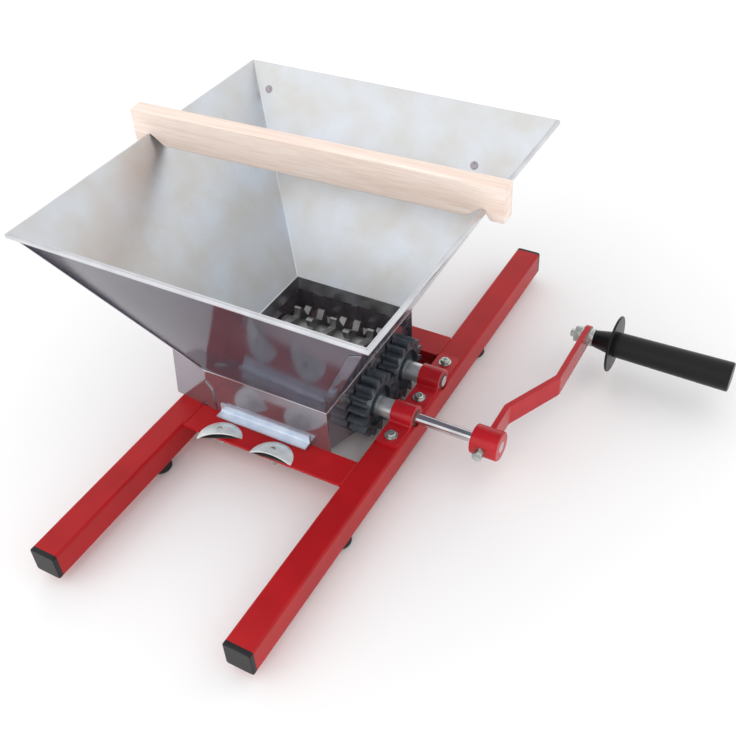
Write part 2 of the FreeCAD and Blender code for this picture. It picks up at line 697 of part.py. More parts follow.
# Shafts, rollers and gears

def key_block(y, grow):
    return box(KEY_X0 - grow, KEY_X1 + grow, y - KEY / 2 - grow, y + KEY / 2 + grow,
               SHAFT_Z + SHAFT_R - KEY_IN_SHAFT, SHAFT_Z + SHAFT_R + KEY_IN_GEAR + grow)


def shaft(y, x1):
    bar = rod_x(SHAFT_R, -RAIL_X - TUBE / 2 + 1, x1, y, SHAFT_Z)
    bar = bar.cut(key_block(y, 0))
    return bar.cut(rod_z(PIN_R, SHAFT_Z - 10, SHAFT_Z + 10, PIN_X, y))


def gear_outline(phase):
    pitch = PITCH_R
    tip = pitch + GEAR_MODULE
    root = GEAR_ROOT_R
    base = pitch * math.cos(PRESSURE_ANGLE)
    half_tooth = (math.pi * GEAR_MODULE / 2 - BACKLASH / 2) / (2 * pitch)
    roll = math.tan(PRESSURE_ANGLE) - PRESSURE_ANGLE

    def flank(radius):
        angle = math.acos(min(1.0, base / radius))
        return half_tooth + roll - (math.tan(angle) - angle)

    def at(radius, angle):
        return V(0, radius * math.cos(angle), radius * math.sin(angle))

    edges = []
    step = 2 * math.pi / GEAR_TEETH
    foot = base + 0.1
    middle = (foot + tip) / 2
    for k in range(GEAR_TEETH):
        a = phase + k * step
        rise = [at(foot, a - flank(foot)), at(middle, a - flank(middle)), at(tip, a - flank(tip))]
        fall = [at(tip, a + flank(tip)), at(middle, a + flank(middle)), at(foot, a + flank(foot))]
        low = at(root, a - flank(foot))
        last = at(root, a + flank(foot))
        following = at(root, a + step - flank(foot))
        edges.append(Part.makeLine(low, rise[0]))
        edges.append(Part.Arc(*rise).toShape())
        edges.append(Part.Arc(rise[2], at(tip, a), fall[0]).toShape())
        edges.append(Part.Arc(*fall).toShape())
        edges.append(Part.makeLine(fall[2], last))
        edges.append(Part.Arc(last, at(root, a + step / 2), following).toShape())
    return Part.Wire(edges)


def gear(y, phase):
    body = Part.Face(gear_outline(phase)).extrude(V(GEAR_WIDTH, 0, 0))
    body.translate(V(GEAR_X0, y, SHAFT_Z))
    hub = rod_x(GEAR_HUB_R, GEAR_X0 - 1, GEAR_X1 + 1, y, SHAFT_Z)
    for x0, x1 in ((GEAR_X1 - GEAR_RECESS, GEAR_X1 + 1), (GEAR_X0 - 1, GEAR_X0 + GEAR_RECESS)):
        body = body.cut(rod_x(GEAR_ROOT_R - GEAR_RIM, x0, x1, y, SHAFT_Z).cut(hub))
    body = body.cut(rod_x(SHAFT_R, GEAR_X0 - 1, GEAR_X1 + 1, y, SHAFT_Z))
    keyway = box(GEAR_X0 - 1, GEAR_X1 + 1, y - KEY / 2, y + KEY / 2,
                 SHAFT_Z, SHAFT_Z + SHAFT_R + KEY_IN_GEAR + 0.1)
    return body.cut(key_block(y, 0.1).fuse(keyway))


def ring(x, y, lean, phase):
    points = []
    for k in range(RING_TEETH):
        a = phase + 2 * math.pi * k / RING_TEETH
        span = 2 * math.pi / RING_TEETH
        for part, below_tip in TOOTH_PROFILE:
            angle = lean * (a + part * span)
            radius = RING_TIP_R - below_tip
            points.append((y + radius * math.cos(angle), SHAFT_Z + radius * math.sin(angle)))
    return prism_x(points, x, x + RING_WIDTH)


def roller(y, first_ring, lean):
    body = [rod_x(CORE_R, ROLLER_X0, ROLLER_X1, y, SHAFT_Z)]
    for k, x in enumerate(ring_places(first_ring)):
        body.append(ring(x, y, lean, k * math.pi / RING_TEETH))
    drum = fused(body).cut(rod_x(SHAFT_R, ROLLER_X0 - 1, ROLLER_X1 + 1, y, SHAFT_Z))
    return drum.cut(rod_z(PIN_R, SHAFT_Z - CORE_R - 1, SHAFT_Z + CORE_R + 1, PIN_X, y))


def roller_pin(y):
    return rod_z(PIN_R, SHAFT_Z - CORE_R + 1, SHAFT_Z + CORE_R - 1, PIN_X, y)


def spacer_sleeve(y):
    x0 = GEAR_X1
    x1 = STRAP_X0 - END_GAP
    return rod_x(SLEEVE_R, x0, x1, y, SHAFT_Z).cut(rod_x(SHAFT_R, x0 - 1, x1 + 1, y, SHAFT_Z))


def shaft_collar(y):
    x0 = -STRAP_X0 + END_GAP
    x1 = x0 + COLLAR_LENGTH
    collar = rod_x(SLEEVE_R, x0, x1, y, SHAFT_Z).cut(rod_x(SHAFT_R, x0 - 1, x1 + 1, y, SHAFT_Z))
    return collar.cut(rod_z(2, SHAFT_Z, SHAFT_Z + 12, (x0 + x1) / 2, y))


# Crank

def crank_hub():
    hub = rod_x(HUB_R, HUB_X0, HUB_X1, DRIVE_Y, SHAFT_Z)
    rims = [e for e in hub.Edges if e.Curve.TypeId == "Part::GeomCircle"]
    hub = hub.makeFillet(HUB_ROUNDING, rims)
    hub = hub.cut(rod_x(SHAFT_R, HUB_X0 - 1, HUB_X1 + 1, DRIVE_Y, SHAFT_Z))
    flat = box(HUB_X0 - 1, HUB_X1 + 1, DRIVE_Y - HUB_R - 1, DRIVE_Y - HUB_R + HUB_FLAT,
               SHAFT_Z - HUB_R, SHAFT_Z + HUB_R)
    bolt_y = DRIVE_Y - HUB_R - 1
    return hub.cut(flat).cut(rod_y(M6_R, bolt_y, DRIVE_Y - SHAFT_R, SET_BOLT_X, SHAFT_Z))


def set_bolt():
    seat = DRIVE_Y - HUB_R + HUB_FLAT - SET_NUT - 0.5
    head = hexagon(M6_FLATS, M6_HEAD, V(SET_BOLT_X, seat, SHAFT_Z), V(0, -1, 0))
    return fused([head, rod_y(M6_R, seat, DRIVE_Y - SHAFT_R, SET_BOLT_X, SHAFT_Z)])


def set_bolt_nut():
    base = DRIVE_Y - HUB_R + HUB_FLAT
    nut = hexagon(M6_FLATS, SET_NUT, V(SET_BOLT_X, base, SHAFT_Z), V(0, -1, 0))
    return nut.cut(rod_y(M6_R, base - SET_NUT - 1, base + 1, SET_BOLT_X, SHAFT_Z))


def crank_arm():
    half = ARM_THICK / 2
    dx = ARM_X_GRIP - ARM_X_HUB
    dy = ARM_BEND_Y1 - ARM_BEND_Y0
    slope = math.atan2(dx, dy)
    shift = half * math.tan(slope / 2)
    inner = [V(ARM_X_HUB - half, DRIVE_Y, 0), V(ARM_X_HUB - half, ARM_BEND_Y0 + shift, 0),
             V(ARM_X_GRIP - half, ARM_BEND_Y1 + shift, 0), V(ARM_X_GRIP - half, GRIP_Y, 0)]
    outer = [V(ARM_X_GRIP + half, GRIP_Y, 0), V(ARM_X_GRIP + half, ARM_BEND_Y1 - shift, 0),
             V(ARM_X_HUB + half, ARM_BEND_Y0 - shift, 0), V(ARM_X_HUB + half, DRIVE_Y, 0)]
    bar = Part.Face(Part.makePolygon(inner + outer + inner[:1])).extrude(V(0, 0, ARM_WIDTH))
    bar.translate(V(0, 0, SHAFT_Z - ARM_WIDTH / 2))
    bends = [e for e in edges_along(bar, Z_AXIS)
             if DRIVE_Y + 5 < e.Vertexes[0].Point.y < GRIP_Y - 5]
    bar = bar.makeFillet(ARM_BEND_R, bends)
    eye = rod_x(ARM_WIDTH / 2, ARM_X_GRIP - half, ARM_X_GRIP + half, GRIP_Y, SHAFT_Z)
    bar = fused([bar, eye])
    bar = bar.cut(rod_x(HUB_R, HUB_X0, HUB_X1, DRIVE_Y, SHAFT_Z))
    return bar.cut(rod_x(SPINDLE_R, ARM_X_GRIP - 10, ARM_X_GRIP + 10, GRIP_Y, SHAFT_Z))


def grip_spindle():
    x0 = ARM_X_GRIP - ARM_THICK / 2
    x1 = ARM_X_GRIP + ARM_THICK / 2
    collar = rod_x(COLLAR_R, x1, GRIP_X0 - END_GAP, GRIP_Y, SHAFT_Z)
    rod = rod_x(SPINDLE_R, x0 - SPINDLE_PAST_ARM, GRIP_X1 - SPINDLE_IN_GRIP, GRIP_Y, SHAFT_Z)
    return fused([collar, rod])


def spindle_nut():
    base = ARM_X_GRIP - ARM_THICK / 2 - SPINDLE_WASHER
    nut = hexagon(SPINDLE_FLATS, SPINDLE_NUT, V(base, GRIP_Y, SHAFT_Z), V(-1, 0, 0))
    return nut.cut(rod_x(SPINDLE_R, base - 9, base + 1, GRIP_Y, SHAFT_Z))


def spindle_washer():
    x1 = ARM_X_GRIP - ARM_THICK / 2
    disc = rod_x(SPINDLE_WASHER_R, x1 - SPINDLE_WASHER, x1, GRIP_Y, SHAFT_Z)
    return disc.cut(rod_x(SPINDLE_R, x1 - SPINDLE_WASHER - 1, x1 + 1, GRIP_Y, SHAFT_Z))


def grip():
    near = GRIP_X0 + GUARD_START
    near_rim = near + GUARD_TAPER
    far_rim = near_rim + 2 * GUARD_EDGE
    far = far_rim + GUARD_TAPER
    rim = GUARD_R - GUARD_EDGE
    end = GRIP_X1
    shoulder = end - GRIP_END_R
    end_r = GRIP_R1 - GRIP_END_R
    rounding = GRIP_END_R * math.sqrt(0.5)
    bore_end = GRIP_X1 - SPINDLE_IN_GRIP + 1
    bore = SPINDLE_R + RUNNING_GAP
    edges = [
        Part.makeLine(V(GRIP_X0, bore, 0), V(GRIP_X0, COLLAR_R - 0.5, 0)),
        Part.makeLine(V(GRIP_X0, COLLAR_R - 0.5, 0), V(near, GUARD_NECK_R, 0)),
        Part.makeLine(V(near, GUARD_NECK_R, 0), V(near_rim, rim, 0)),
        Part.Arc(V(near_rim, rim, 0), V(near_rim + GUARD_EDGE, GUARD_R, 0), V(far_rim, rim, 0)).toShape(),
        Part.makeLine(V(far_rim, rim, 0), V(far, GRIP_R0, 0)),
        Part.makeLine(V(far, GRIP_R0, 0), V(shoulder, GRIP_R1, 0)),
        Part.Arc(V(shoulder, GRIP_R1, 0), V(shoulder + rounding, end_r + rounding, 0),
                 V(end, end_r, 0)).toShape(),
        Part.makeLine(V(end, end_r, 0), V(end, 0, 0)),
        Part.makeLine(V(end, 0, 0), V(bore_end, 0, 0)),
        Part.makeLine(V(bore_end, 0, 0), V(bore_end, bore, 0)),
        Part.makeLine(V(bore_end, bore, 0), V(GRIP_X0, bore, 0)),
    ]
    body = Part.Face(Part.Wire(edges)).revolve(V(0, 0, 0), X_AXIS, 360)
    body.translate(V(0, GRIP_Y, SHAFT_Z))
    return body


# Wooden bar

def wooden_bar():
    z0 = RIM_TOP - WOOD_BELOW_RIM
    rim_left = RIM_CENTRE_X - RIM_SIZE_X / 2 - HEM_THICK
    rim_right = RIM_CENTRE_X + RIM_SIZE_X / 2 + HEM_THICK
    seat = RIM_TOP + SEAT_GAP
    outline = [(WOOD_X0, z0), (rim_left - NOTCH_PLAY, z0), (rim_left - NOTCH_PLAY, seat),
               (rim_left + NOTCH_PLAY, seat), (rim_left + NOTCH_SLOPE, z0),
               (rim_right - NOTCH_SLOPE, z0), (rim_right - NOTCH_PLAY, seat),
               (rim_right + NOTCH_PLAY, seat), (rim_right + NOTCH_PLAY, z0), (WOOD_X1, z0),
               (WOOD_X1, z0 + WOOD_HEIGHT), (WOOD_X0, z0 + WOOD_HEIGHT)]
    points = [V(x, WOOD_CENTRE_Y - WOOD_THICK / 2, z) for x, z in outline]
    bar = Part.Face(Part.makePolygon(points + points[:1])).extrude(V(0, WOOD_THICK, 0))
    bar.rotate(V(RIM_CENTRE_X, WOOD_CENTRE_Y, 0), Z_AXIS, WOOD_SKEW)
    return bar


def build():
    os.makedirs("parts", exist_ok=True)
    for side_name, side in SIDES:
        save(side_name + "_rail", rail(side))
        save(side_name + "_bearing_strap", bearing_strap(side))
        save("housing_" + side_name + "_plate", housing_side_plate(side))
        for end_name, end in ENDS:
            place = end_name + "_" + side_name
            save("end_cap_" + place, end_cap(side, end))
            save("rubber_foot_" + place, rubber_foot(side, end))
        for shaft_name, y in SHAFTS:
            save(shaft_name + "_bush_" + side_name, bearing_bush(side, y))
    for end_name, end in ENDS:
        save(end_name + "_cross_bar", cross_bar(end))
    save("foot_screws", foot_screws())
    save("strap_screws", strap_screws())
    save("strap_washers", strap_washers())
    save("housing_front_wall", housing_front_wall())
    save("housing_rear_wall", housing_rear_wall())
    save("housing_bolts", housing_bolts())
    save("left_bearing_cover", left_bearing_cover())
    save("hopper", hopper_shell())
    save("hopper_bolts", skirt_bolts())
    save("m6_nuts", housing_nuts() + skirt_nuts() + cap_nuts())
    save("scraper_comb", scraper_comb())
    save("clamp_angle", clamp_angle())
    for cap_name, x, turn in CAP_PLACES:
        save(cap_name + "_clamp_cap", clamp_cap(x, turn))
    save("cap_bolts", cap_bolts())
    step = math.pi / GEAR_TEETH
    save("drive_shaft", shaft(DRIVE_Y, HUB_X1))
    save("driven_shaft", shaft(DRIVEN_Y, STRAP_X1 + 1.5))
    save("drive_gear", gear(DRIVE_Y, 0.0))
    save("driven_gear", gear(DRIVEN_Y, math.pi + step))
    save("drive_roller", roller(DRIVE_Y, ROLLER_X0 + FIRST_RING, -1))
    save("driven_roller", roller(DRIVEN_Y, ROLLER_X0 + FIRST_RING + RING_PITCH / 2, 1))
    for name, y in SHAFTS:
        save(name + "_gear_key", key_block(y, 0))
        save(name + "_roller_pin", roller_pin(y))
        save(name + "_spacer_sleeve", spacer_sleeve(y))
        save(name + "_shaft_collar", shaft_collar(y))
    save("crank_hub", crank_hub())
    save("crank_set_bolt", set_bolt())
    save("crank_set_bolt_nut", set_bolt_nut())
    save("crank_arm", crank_arm())
    save("grip_spindle", grip_spindle())
    save("spindle_nut", spindle_nut())
    save("spindle_washer", spindle_washer())
    save("grip", grip())
    save("wooden_bar", wooden_bar())


build()
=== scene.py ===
"""Looks of a hand-cranked apple scratter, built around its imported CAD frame.

The CAD solids whose shapes are right stay and are dressed in the finishes of the real machine.
What a folding bench, a press or a plane softens is modelled anew: the hopper's panels with
their laps and rolled hem, the half-round clamp caps with their studs, the notched wooden bar,
and the weld beads under the powder coat.
"""

import logging
import math
from dataclasses import dataclass
from enum import Enum
from typing import Any, Callable

import bmesh
import bpy
from mathutils import Matrix, Vector


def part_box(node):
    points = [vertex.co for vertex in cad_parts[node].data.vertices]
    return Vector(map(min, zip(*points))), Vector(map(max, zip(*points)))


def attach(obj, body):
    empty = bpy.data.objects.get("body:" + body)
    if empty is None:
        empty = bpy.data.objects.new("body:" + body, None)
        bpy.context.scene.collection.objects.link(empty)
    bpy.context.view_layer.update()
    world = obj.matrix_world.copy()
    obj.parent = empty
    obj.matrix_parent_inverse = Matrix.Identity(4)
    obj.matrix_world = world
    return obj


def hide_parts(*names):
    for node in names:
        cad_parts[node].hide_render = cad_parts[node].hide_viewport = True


log = logging.getLogger("scratter")

MM = 0.001
IMAGE_PX = 736
SMOOTH_BELOW = math.radians(35)
# A face counts as facing a way from this share of its normal, an edge as upright from this
# share of its length.
FACING = 0.9
UPRIGHT = 0.5
# Edges that turn by more than this are rounded: folds stay sharp, cuts don't.
FOLD_DEG = 35.0
CUT_DEG = 50.0
# The edges of a thin strip are rounded by this share of its thickness.
STRIP_ROUNDING = 0.35
# Blender's noise lies nearly all between these two values.
NOISE_SPAN = (0.35, 0.65)
CLOUD_DETAIL = 4.0
RELIEF_DETAIL = 3.0


class Grain(Enum):
    """The direction in which a sheet was rolled, a rod was drawn or a board was sawn."""

    ALONG_X = (0.04, 1.0, 1.0)
    ALONG_Y = (1.0, 0.04, 1.0)
    NONE = (1.0, 1.0, 1.0)


class Pick(Enum):
    """What a selection in edit mode is made of, as bmesh and the select mode name it."""

    CORNERS = ("verts", "VERT")
    EDGES = ("edges", "EDGE")
    FACES = ("faces", "FACE")


class Side(Enum):
    """A side of the machine, with the crank on its right."""

    LEFT = "left"
    RIGHT = "right"


def srgb(code: str) -> tuple[float, float, float, float]:
    """Turn an sRGB hex colour into the linear colour that a shader socket takes.

    Args:
        code: Six hex digits after a hash sign.

    Returns:
        Linear red, green and blue with an alpha of one.
    """
    channels = []
    for start in (1, 3, 5):
        value = int(code[start:start + 2], 16) / 255
        channels.append(value / 12.92 if value <= 0.04045 else ((value + 0.055) / 1.055) ** 2.4)
    return (channels[0], channels[1], channels[2], 1.0)


def grey(level: float) -> tuple[float, float, float, float]:
    """Return a neutral linear colour of one level."""
    return (level, level, level, 1.0)


def add_node(tree: Any, kind: str, settings: dict[str | int, Any] | None = None,
             links: dict[str | int, Any] | None = None) -> Any:
    """Add one shader node, set it up and link its inputs.

    Args:
        tree: The node tree that takes the node.
        kind: Blender's name of the node type.
        settings: Attribute values, or input values by the input's name or number.
        links: Output sockets by the name or number of the input that each one feeds.

    Returns:
        The new node.
    """
    node = tree.nodes.new(kind)
    for key, value in (settings or {}).items():
        if isinstance(key, str) and hasattr(node, key):
            setattr(node, key, value)
        else:
            node.inputs[key].default_value = value
    for key, socket in (links or {}).items():
        tree.links.new(socket, node.inputs[key])
    return node


def empty_material(name: str) -> bpy.types.Material:
    """Start a material whose node tree is empty.

    Args:
        name: The material's name.

    Returns:
        The new material.
    """
    made = bpy.data.materials.new(name)
    made.use_nodes = True
    made.node_tree.nodes.clear()
    return made


@dataclass(frozen=True)
class Finish:
    """A surface as its maker leaves it: two tones in clouds, gloss, fine relief and waviness."""

    name: str
    tone: str
    cloud_tone: str
    metallic: float
    roughness: tuple[float, float]
    cloud_mm: float
    relief_mm: float
    relief_depth_mm: float
    grain: Grain = Grain.NONE
    wave_depth_mm: float = 0.0
    specular: float = 0.5
    edge_tone: float = 1.0

    def material(self) -> bpy.types.Material:
        """Build the procedural material of this finish.

        Returns:
            A material that reads Object coordinates in metres.
        """
        made = empty_material(self.name)
        tree = made.node_tree
        place = add_node(tree, "ShaderNodeTexCoord").outputs["Object"]
        along = add_node(tree, "ShaderNodeMapping", {"Scale": self.grain.value},
                         {"Vector": place})
        cloud = add_node(tree, "ShaderNodeTexNoise",
                         {"Scale": 1 / (self.cloud_mm * MM), "Detail": CLOUD_DETAIL},
                         {"Vector": place})
        relief = add_node(tree, "ShaderNodeTexNoise",
                          {"Scale": 1 / (self.relief_mm * MM), "Detail": RELIEF_DETAIL},
                          {"Vector": along.outputs["Vector"]})
        spread = add_node(tree, "ShaderNodeMapRange",
                          {"From Min": NOISE_SPAN[0], "From Max": NOISE_SPAN[1]},
                          {"Value": cloud.outputs["Fac"]})
        tint = add_node(tree, "ShaderNodeMix",
                        {"data_type": "RGBA", 6: srgb(self.tone), 7: srgb(self.cloud_tone)},
                        {0: spread.outputs["Result"]})
        gloss = add_node(tree, "ShaderNodeMapRange",
                         {"To Min": self.roughness[0], "To Max": self.roughness[1]},
                         {"Value": relief.outputs["Fac"]})
        wave = add_node(tree, "ShaderNodeBump", {"Distance": self.wave_depth_mm * MM},
                        {"Height": cloud.outputs["Fac"]})
        bump = add_node(tree, "ShaderNodeBump", {"Distance": self.relief_depth_mm * MM},
                        {"Height": relief.outputs["Fac"], "Normal": wave.outputs["Normal"]})
        shader = add_node(tree, "ShaderNodeBsdfPrincipled",
                          {"Metallic": self.metallic, "Specular IOR Level": self.specular,
                           "Specular Tint": grey(self.edge_tone)},
                          {"Base Color": tint.outputs[2], "Roughness": gloss.outputs["Result"],
                           "Normal": bump.outputs["Normal"]})
        add_node(tree, "ShaderNodeOutputMaterial", None, {"Surface": shader.outputs["BSDF"]})
        return made


# Polyester powder coat, baked: a full red with a faint orange peel of 1.4 mm.
FRAME_RED = Finish("baked_powder_coat_red", "#b8181d", "#a81319", 0.0, (0.32, 0.42), 60.0, 1.4,
                   0.02, specular=0.25)
# The same coat where it is thicker, on the straps and the crank: glossier and a shade lighter.
CRANK_RED = Finish("baked_powder_coat_crank", "#c21c26", "#b21721", 0.0, (0.20, 0.28), 40.0, 1.6,
                   0.03, specular=0.35)
# Stainless sheet, bright annealed, on the hopper's outside: a slightly wavy mirror under a haze of
# fine scratches, which the part that isn't metallic gives. Its dark purple-grey tone is painted
# shade for the shaded floor that the down-facing panels reflect, darker than the same steel
# inside, and its edge tone darkens its reflections so that the white floor doesn't bleach it.
OUTER_SHEET_PAINTED_SHADE = Finish("outer_stainless_painted_shade", "#8b8693", "#7f7a87", 0.68, (0.07, 0.11), 70.0,
                      0.8, 0.002, grain=Grain.ALONG_X, wave_depth_mm=0.16, edge_tone=0.42)
# The same sheet on the walls below, handled more: a softer mirror.
WALL_SHEET = Finish("handled_stainless", "#a8a1a8", "#9a939b", 0.8, (0.09, 0.16), 55.0, 0.8,
                    0.003, grain=Grain.ALONG_X, wave_depth_mm=0.1)
# The sheet inside the hopper, rubbed satin in use, with faint beige clouds.
SATIN_SHEET = Finish("rubbed_stainless", "#d5dae1", "#cecdcb", 1.0, (0.24, 0.36), 48.0, 0.9,
                     0.006, grain=Grain.ALONG_Y)
# The sheared and rolled edge of the sheet: a thin bright line.
CUT_EDGE = Finish("sheared_stainless_edge", "#dadbdf", "#cccdd2", 1.0, (0.20, 0.26), 30.0, 0.8,
                  0.001)
# Steel sheet, zinc plated and passivated, white with a soft cloud. Its bluish tint is partly the
# blue passivation and partly painted sky light.
ZINC_SHEET = Finish("zinc_plated_sheet", "#e6eef8", "#d3deec", 0.6, (0.30, 0.42), 14.0, 1.0, 0.008)
# Pressed aluminium, tumbled: pale and a little green.
CAP_TOP = Finish("tumbled_aluminium", "#f2f9f8", "#dbe6e5", 0.4, (0.36, 0.48), 9.0, 0.9, 0.01)
# Painted shade: a dark tone on the domes' insides and on the half-round sheets under them, for the
# shadow in the caps' hollows.
CAP_PAINTED_SHADE = Finish("cap_hollow_painted_shade", "#57524f", "#474240", 0.4, (0.5, 0.62), 7.0,
                    0.9, 0.02)
# Steel fasteners, zinc plated: pale with greenish grey clouds.
ZINC = Finish("zinc_plated_steel", "#cdd3cf", "#9ea6a1", 0.9, (0.20, 0.32), 5.0, 0.6, 0.008)
# Steel tube sleeves, turned and zinc plated, in a paler copy of the fasteners' plating: painted
# light for their brightly lit tops.
LIT_ZINC_SLEEVE = Finish("zinc_plated_sleeve_painted_light", "#e6e9e8", "#d2d6d5", 0.8, (0.28, 0.38), 9.0, 0.6,
                0.004)
# Steel gear blanks, milled and oiled: dark blue grey, with lighter clouds that are a painted sheen
# for the lit tooth tops.
GEAR_STEEL_AND_SHEEN = Finish("oiled_gear_steel_painted_sheen", "#59626b", "#6b757c", 0.55, (0.30, 0.44), 7.0, 0.7, 0.015)
# Shaft steel, drawn and ground: bright, with fine marks along the rod.
SHAFT = Finish("ground_shaft_steel", "#d2d2d4", "#bcbdc0", 1.0, (0.10, 0.18), 16.0, 0.5, 0.003,
               grain=Grain.ALONG_X)
# Cast stainless rollers, tumbled: satin grey.
ROLLER_STEEL = Finish("tumbled_stainless_steel", "#a3a2a2", "#8c8a89", 0.9, (0.40, 0.52), 14.0,
                      0.8, 0.015)
# Sintered bronze bushes that caught the red overspray.
BUSH = Finish("oversprayed_bronze", "#8a2f28", "#6f3a2a", 0.3, (0.42, 0.54), 5.0, 0.6, 0.02)
# Polyethylene, injection moulded: fine spark-eroded grain of 0.9 mm.
BLACK_PLASTIC = Finish("moulded_polyethylene_black", "#111113", "#19191b", 0.0, (0.40, 0.50), 15.0,
                       0.9, 0.02, specular=0.35)
# Polypropylene, injection moulded and handled: darker and glossier.
GRIP_PLASTIC = Finish("moulded_polypropylene_black", "#060607", "#0b0b0d", 0.0, (0.28, 0.38), 20.0,
                      1.0, 0.012, specular=0.3)
# Natural rubber, moulded: dull and slightly dusty.
RUBBER = Finish("moulded_rubber_black", "#1a1a1a", "#262525", 0.0, (0.68, 0.8), 8.0, 0.8, 0.03)


NODE_FINISH: dict[str, Finish] = {
    "left_rail": FRAME_RED, "right_rail": FRAME_RED,
    "front_cross_bar": FRAME_RED, "rear_cross_bar": FRAME_RED,
    "left_bearing_strap": CRANK_RED, "right_bearing_strap": CRANK_RED,
    "crank_arm": CRANK_RED, "crank_hub": CRANK_RED,
    "hopper": OUTER_SHEET_PAINTED_SHADE, "housing_front_wall": WALL_SHEET, "housing_rear_wall": WALL_SHEET,
    "housing_left_plate": WALL_SHEET, "housing_right_plate": WALL_SHEET,
    "left_bearing_cover": WALL_SHEET, "scraper_comb": WALL_SHEET, "clamp_angle": ZINC_SHEET,
    "left_clamp_cap": CAP_TOP, "right_clamp_cap": CAP_TOP,
    "drive_gear": GEAR_STEEL_AND_SHEEN, "driven_gear": GEAR_STEEL_AND_SHEEN,
    "drive_shaft": SHAFT, "driven_shaft": SHAFT,
    "drive_spacer_sleeve": LIT_ZINC_SLEEVE, "driven_spacer_sleeve": LIT_ZINC_SLEEVE,
    "drive_roller": ROLLER_STEEL, "driven_roller": ROLLER_STEEL,
    "drive_gear_key": SHAFT, "driven_gear_key": SHAFT,
    "drive_roller_pin": SHAFT, "driven_roller_pin": SHAFT,
    "grip": GRIP_PLASTIC,
}
PREFIX_FINISH: tuple[tuple[str, Finish], ...] = (
    ("end_cap", BLACK_PLASTIC), ("rubber_foot", RUBBER),
    ("drive_bush", BUSH), ("driven_bush", BUSH),
)


@dataclass(frozen=True)
class SpruceBoard:
    """Planed spruce: pale and pinkish, with long soft streaks and fine fibres."""

    pale: str = "#fcede3"
    streak: str = "#e9d0c1"
    streak_mm: float = 9.0
    streak_bend: float = 0.6
    streak_detail: float = 3.0
    fibre_mm: float = 1.1
    fibre_detail: float = 4.0
    fibre_share: float = 0.45
    fibre_depth_mm: float = 0.05
    stretch: float = 0.025
    noise_span: tuple[float, float] = (0.38, 0.66)
    roughness: float = 0.6

    def material(self) -> bpy.types.Material:
        """Build the wood, with its grain along X.

        Returns:
            A material that reads Object coordinates in metres.
        """
        made = empty_material("planed_spruce")
        tree = made.node_tree
        place = add_node(tree, "ShaderNodeTexCoord").outputs["Object"]
        along = add_node(tree, "ShaderNodeMapping", {"Scale": (self.stretch, 1.0, 1.0)},
                         {"Vector": place})
        streaks = add_node(tree, "ShaderNodeTexNoise",
                           {"Scale": 1 / (self.streak_mm * MM), "Detail": self.streak_detail,
                            "Distortion": self.streak_bend},
                           {"Vector": along.outputs["Vector"]})
        # Real spruce fibres are 0.04 mm wide, so these are drawn coarser to show at all.
        fibres = add_node(tree, "ShaderNodeTexNoise",
                          {"Scale": 1 / (self.fibre_mm * MM), "Detail": self.fibre_detail},
                          {"Vector": along.outputs["Vector"]})
        both = add_node(tree, "ShaderNodeMix", {"data_type": "FLOAT", 0: self.fibre_share},
                        {2: streaks.outputs["Fac"], 3: fibres.outputs["Fac"]})
        spread = add_node(tree, "ShaderNodeMapRange",
                          {"From Min": self.noise_span[0], "From Max": self.noise_span[1]},
                          {"Value": both.outputs[0]})
        tint = add_node(tree, "ShaderNodeMix",
                        {"data_type": "RGBA", 6: srgb(self.pale), 7: srgb(self.streak)},
                        {0: spread.outputs["Result"]})
        bump = add_node(tree, "ShaderNodeBump", {"Distance": self.fibre_depth_mm * MM},
                        {"Height": fibres.outputs["Fac"]})
        shader = add_node(tree, "ShaderNodeBsdfPrincipled", {"Roughness": self.roughness},
                          {"Base Color": tint.outputs[2], "Normal": bump.outputs["Normal"]})
        add_node(tree, "ShaderNodeOutputMaterial", None, {"Surface": shader.outputs["BSDF"]})
        return made


class Workshop:
    """Keeps one material of each finish and puts finishes on pieces."""

    def __init__(self) -> None:
        """Start with no materials made."""
        self.made: dict[Finish | SpruceBoard, bpy.types.Material] = {}

    def of(self, finish: Finish | SpruceBoard) -> bpy.types.Material:
        """Return the finish's material, building it the first time.

        Args:
            finish: The finish that is wanted.

        Returns:
            The shared material.
        """
        if finish not in self.made:
            self.made[finish] = finish.material()
        return self.made[finish]

    def dress(self, piece: bpy.types.Object, *finishes: Finish | SpruceBoard) -> None:
        """Give a piece its finishes, in the order of its material slots.

        Args:
            piece: The object to dress.
            finishes: One finish for the whole piece, or one for each slot.
        """
        while len(piece.data.materials) < len(finishes):
            piece.data.materials.append(None)
        for number, slot in enumerate(piece.material_slots):
            slot.material = self.of(finishes[min(number, len(finishes) - 1)])


@dataclass(frozen=True)
class Datum:
    """The machine's own zero: halfway between the rails, on their tops."""

    middle_x: float
    rail_top: float

    @classmethod
    def of_rails(cls) -> "Datum":
        """Read the zero from the two rails.

        Returns:
            The zero, in metres.
        """
        left_low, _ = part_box("left_rail")
        _, right_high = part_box("right_rail")
        return cls((left_low.x + right_high.x) / 2, right_high.z)

    def at(self, x: float, y: float, up: float) -> Vector:
        """Turn a place in millimetres from this zero into a point in metres.

        Args:
            x: Towards the crank from halfway between the rails.
            y: Along the rails, away from the front.
            up: Above the rail tops.

        Returns:
            The point in the shared frame.
        """
        return Vector((self.middle_x + x * MM, y * MM, self.rail_top + up * MM))


def deselect_all() -> None:
    """Leave object mode with nothing selected."""
    if bpy.context.mode != "OBJECT":
        bpy.ops.object.mode_set(mode="OBJECT")
    bpy.ops.object.select_all(action="DESELECT")


def take(piece: bpy.types.Object) -> None:
    """Make one piece the only selected and the active one, in object mode.

    Args:
        piece: The piece to take.
    """
    deselect_all()
    piece.select_set(True)
    bpy.context.view_layer.objects.active = piece


def shake_down(piece: bpy.types.Object) -> None:
    """Put the piece's place, turn and size into its mesh, with the object at the origin."""
    take(piece)
    bpy.ops.object.transform_apply(location=True, rotation=True, scale=True)


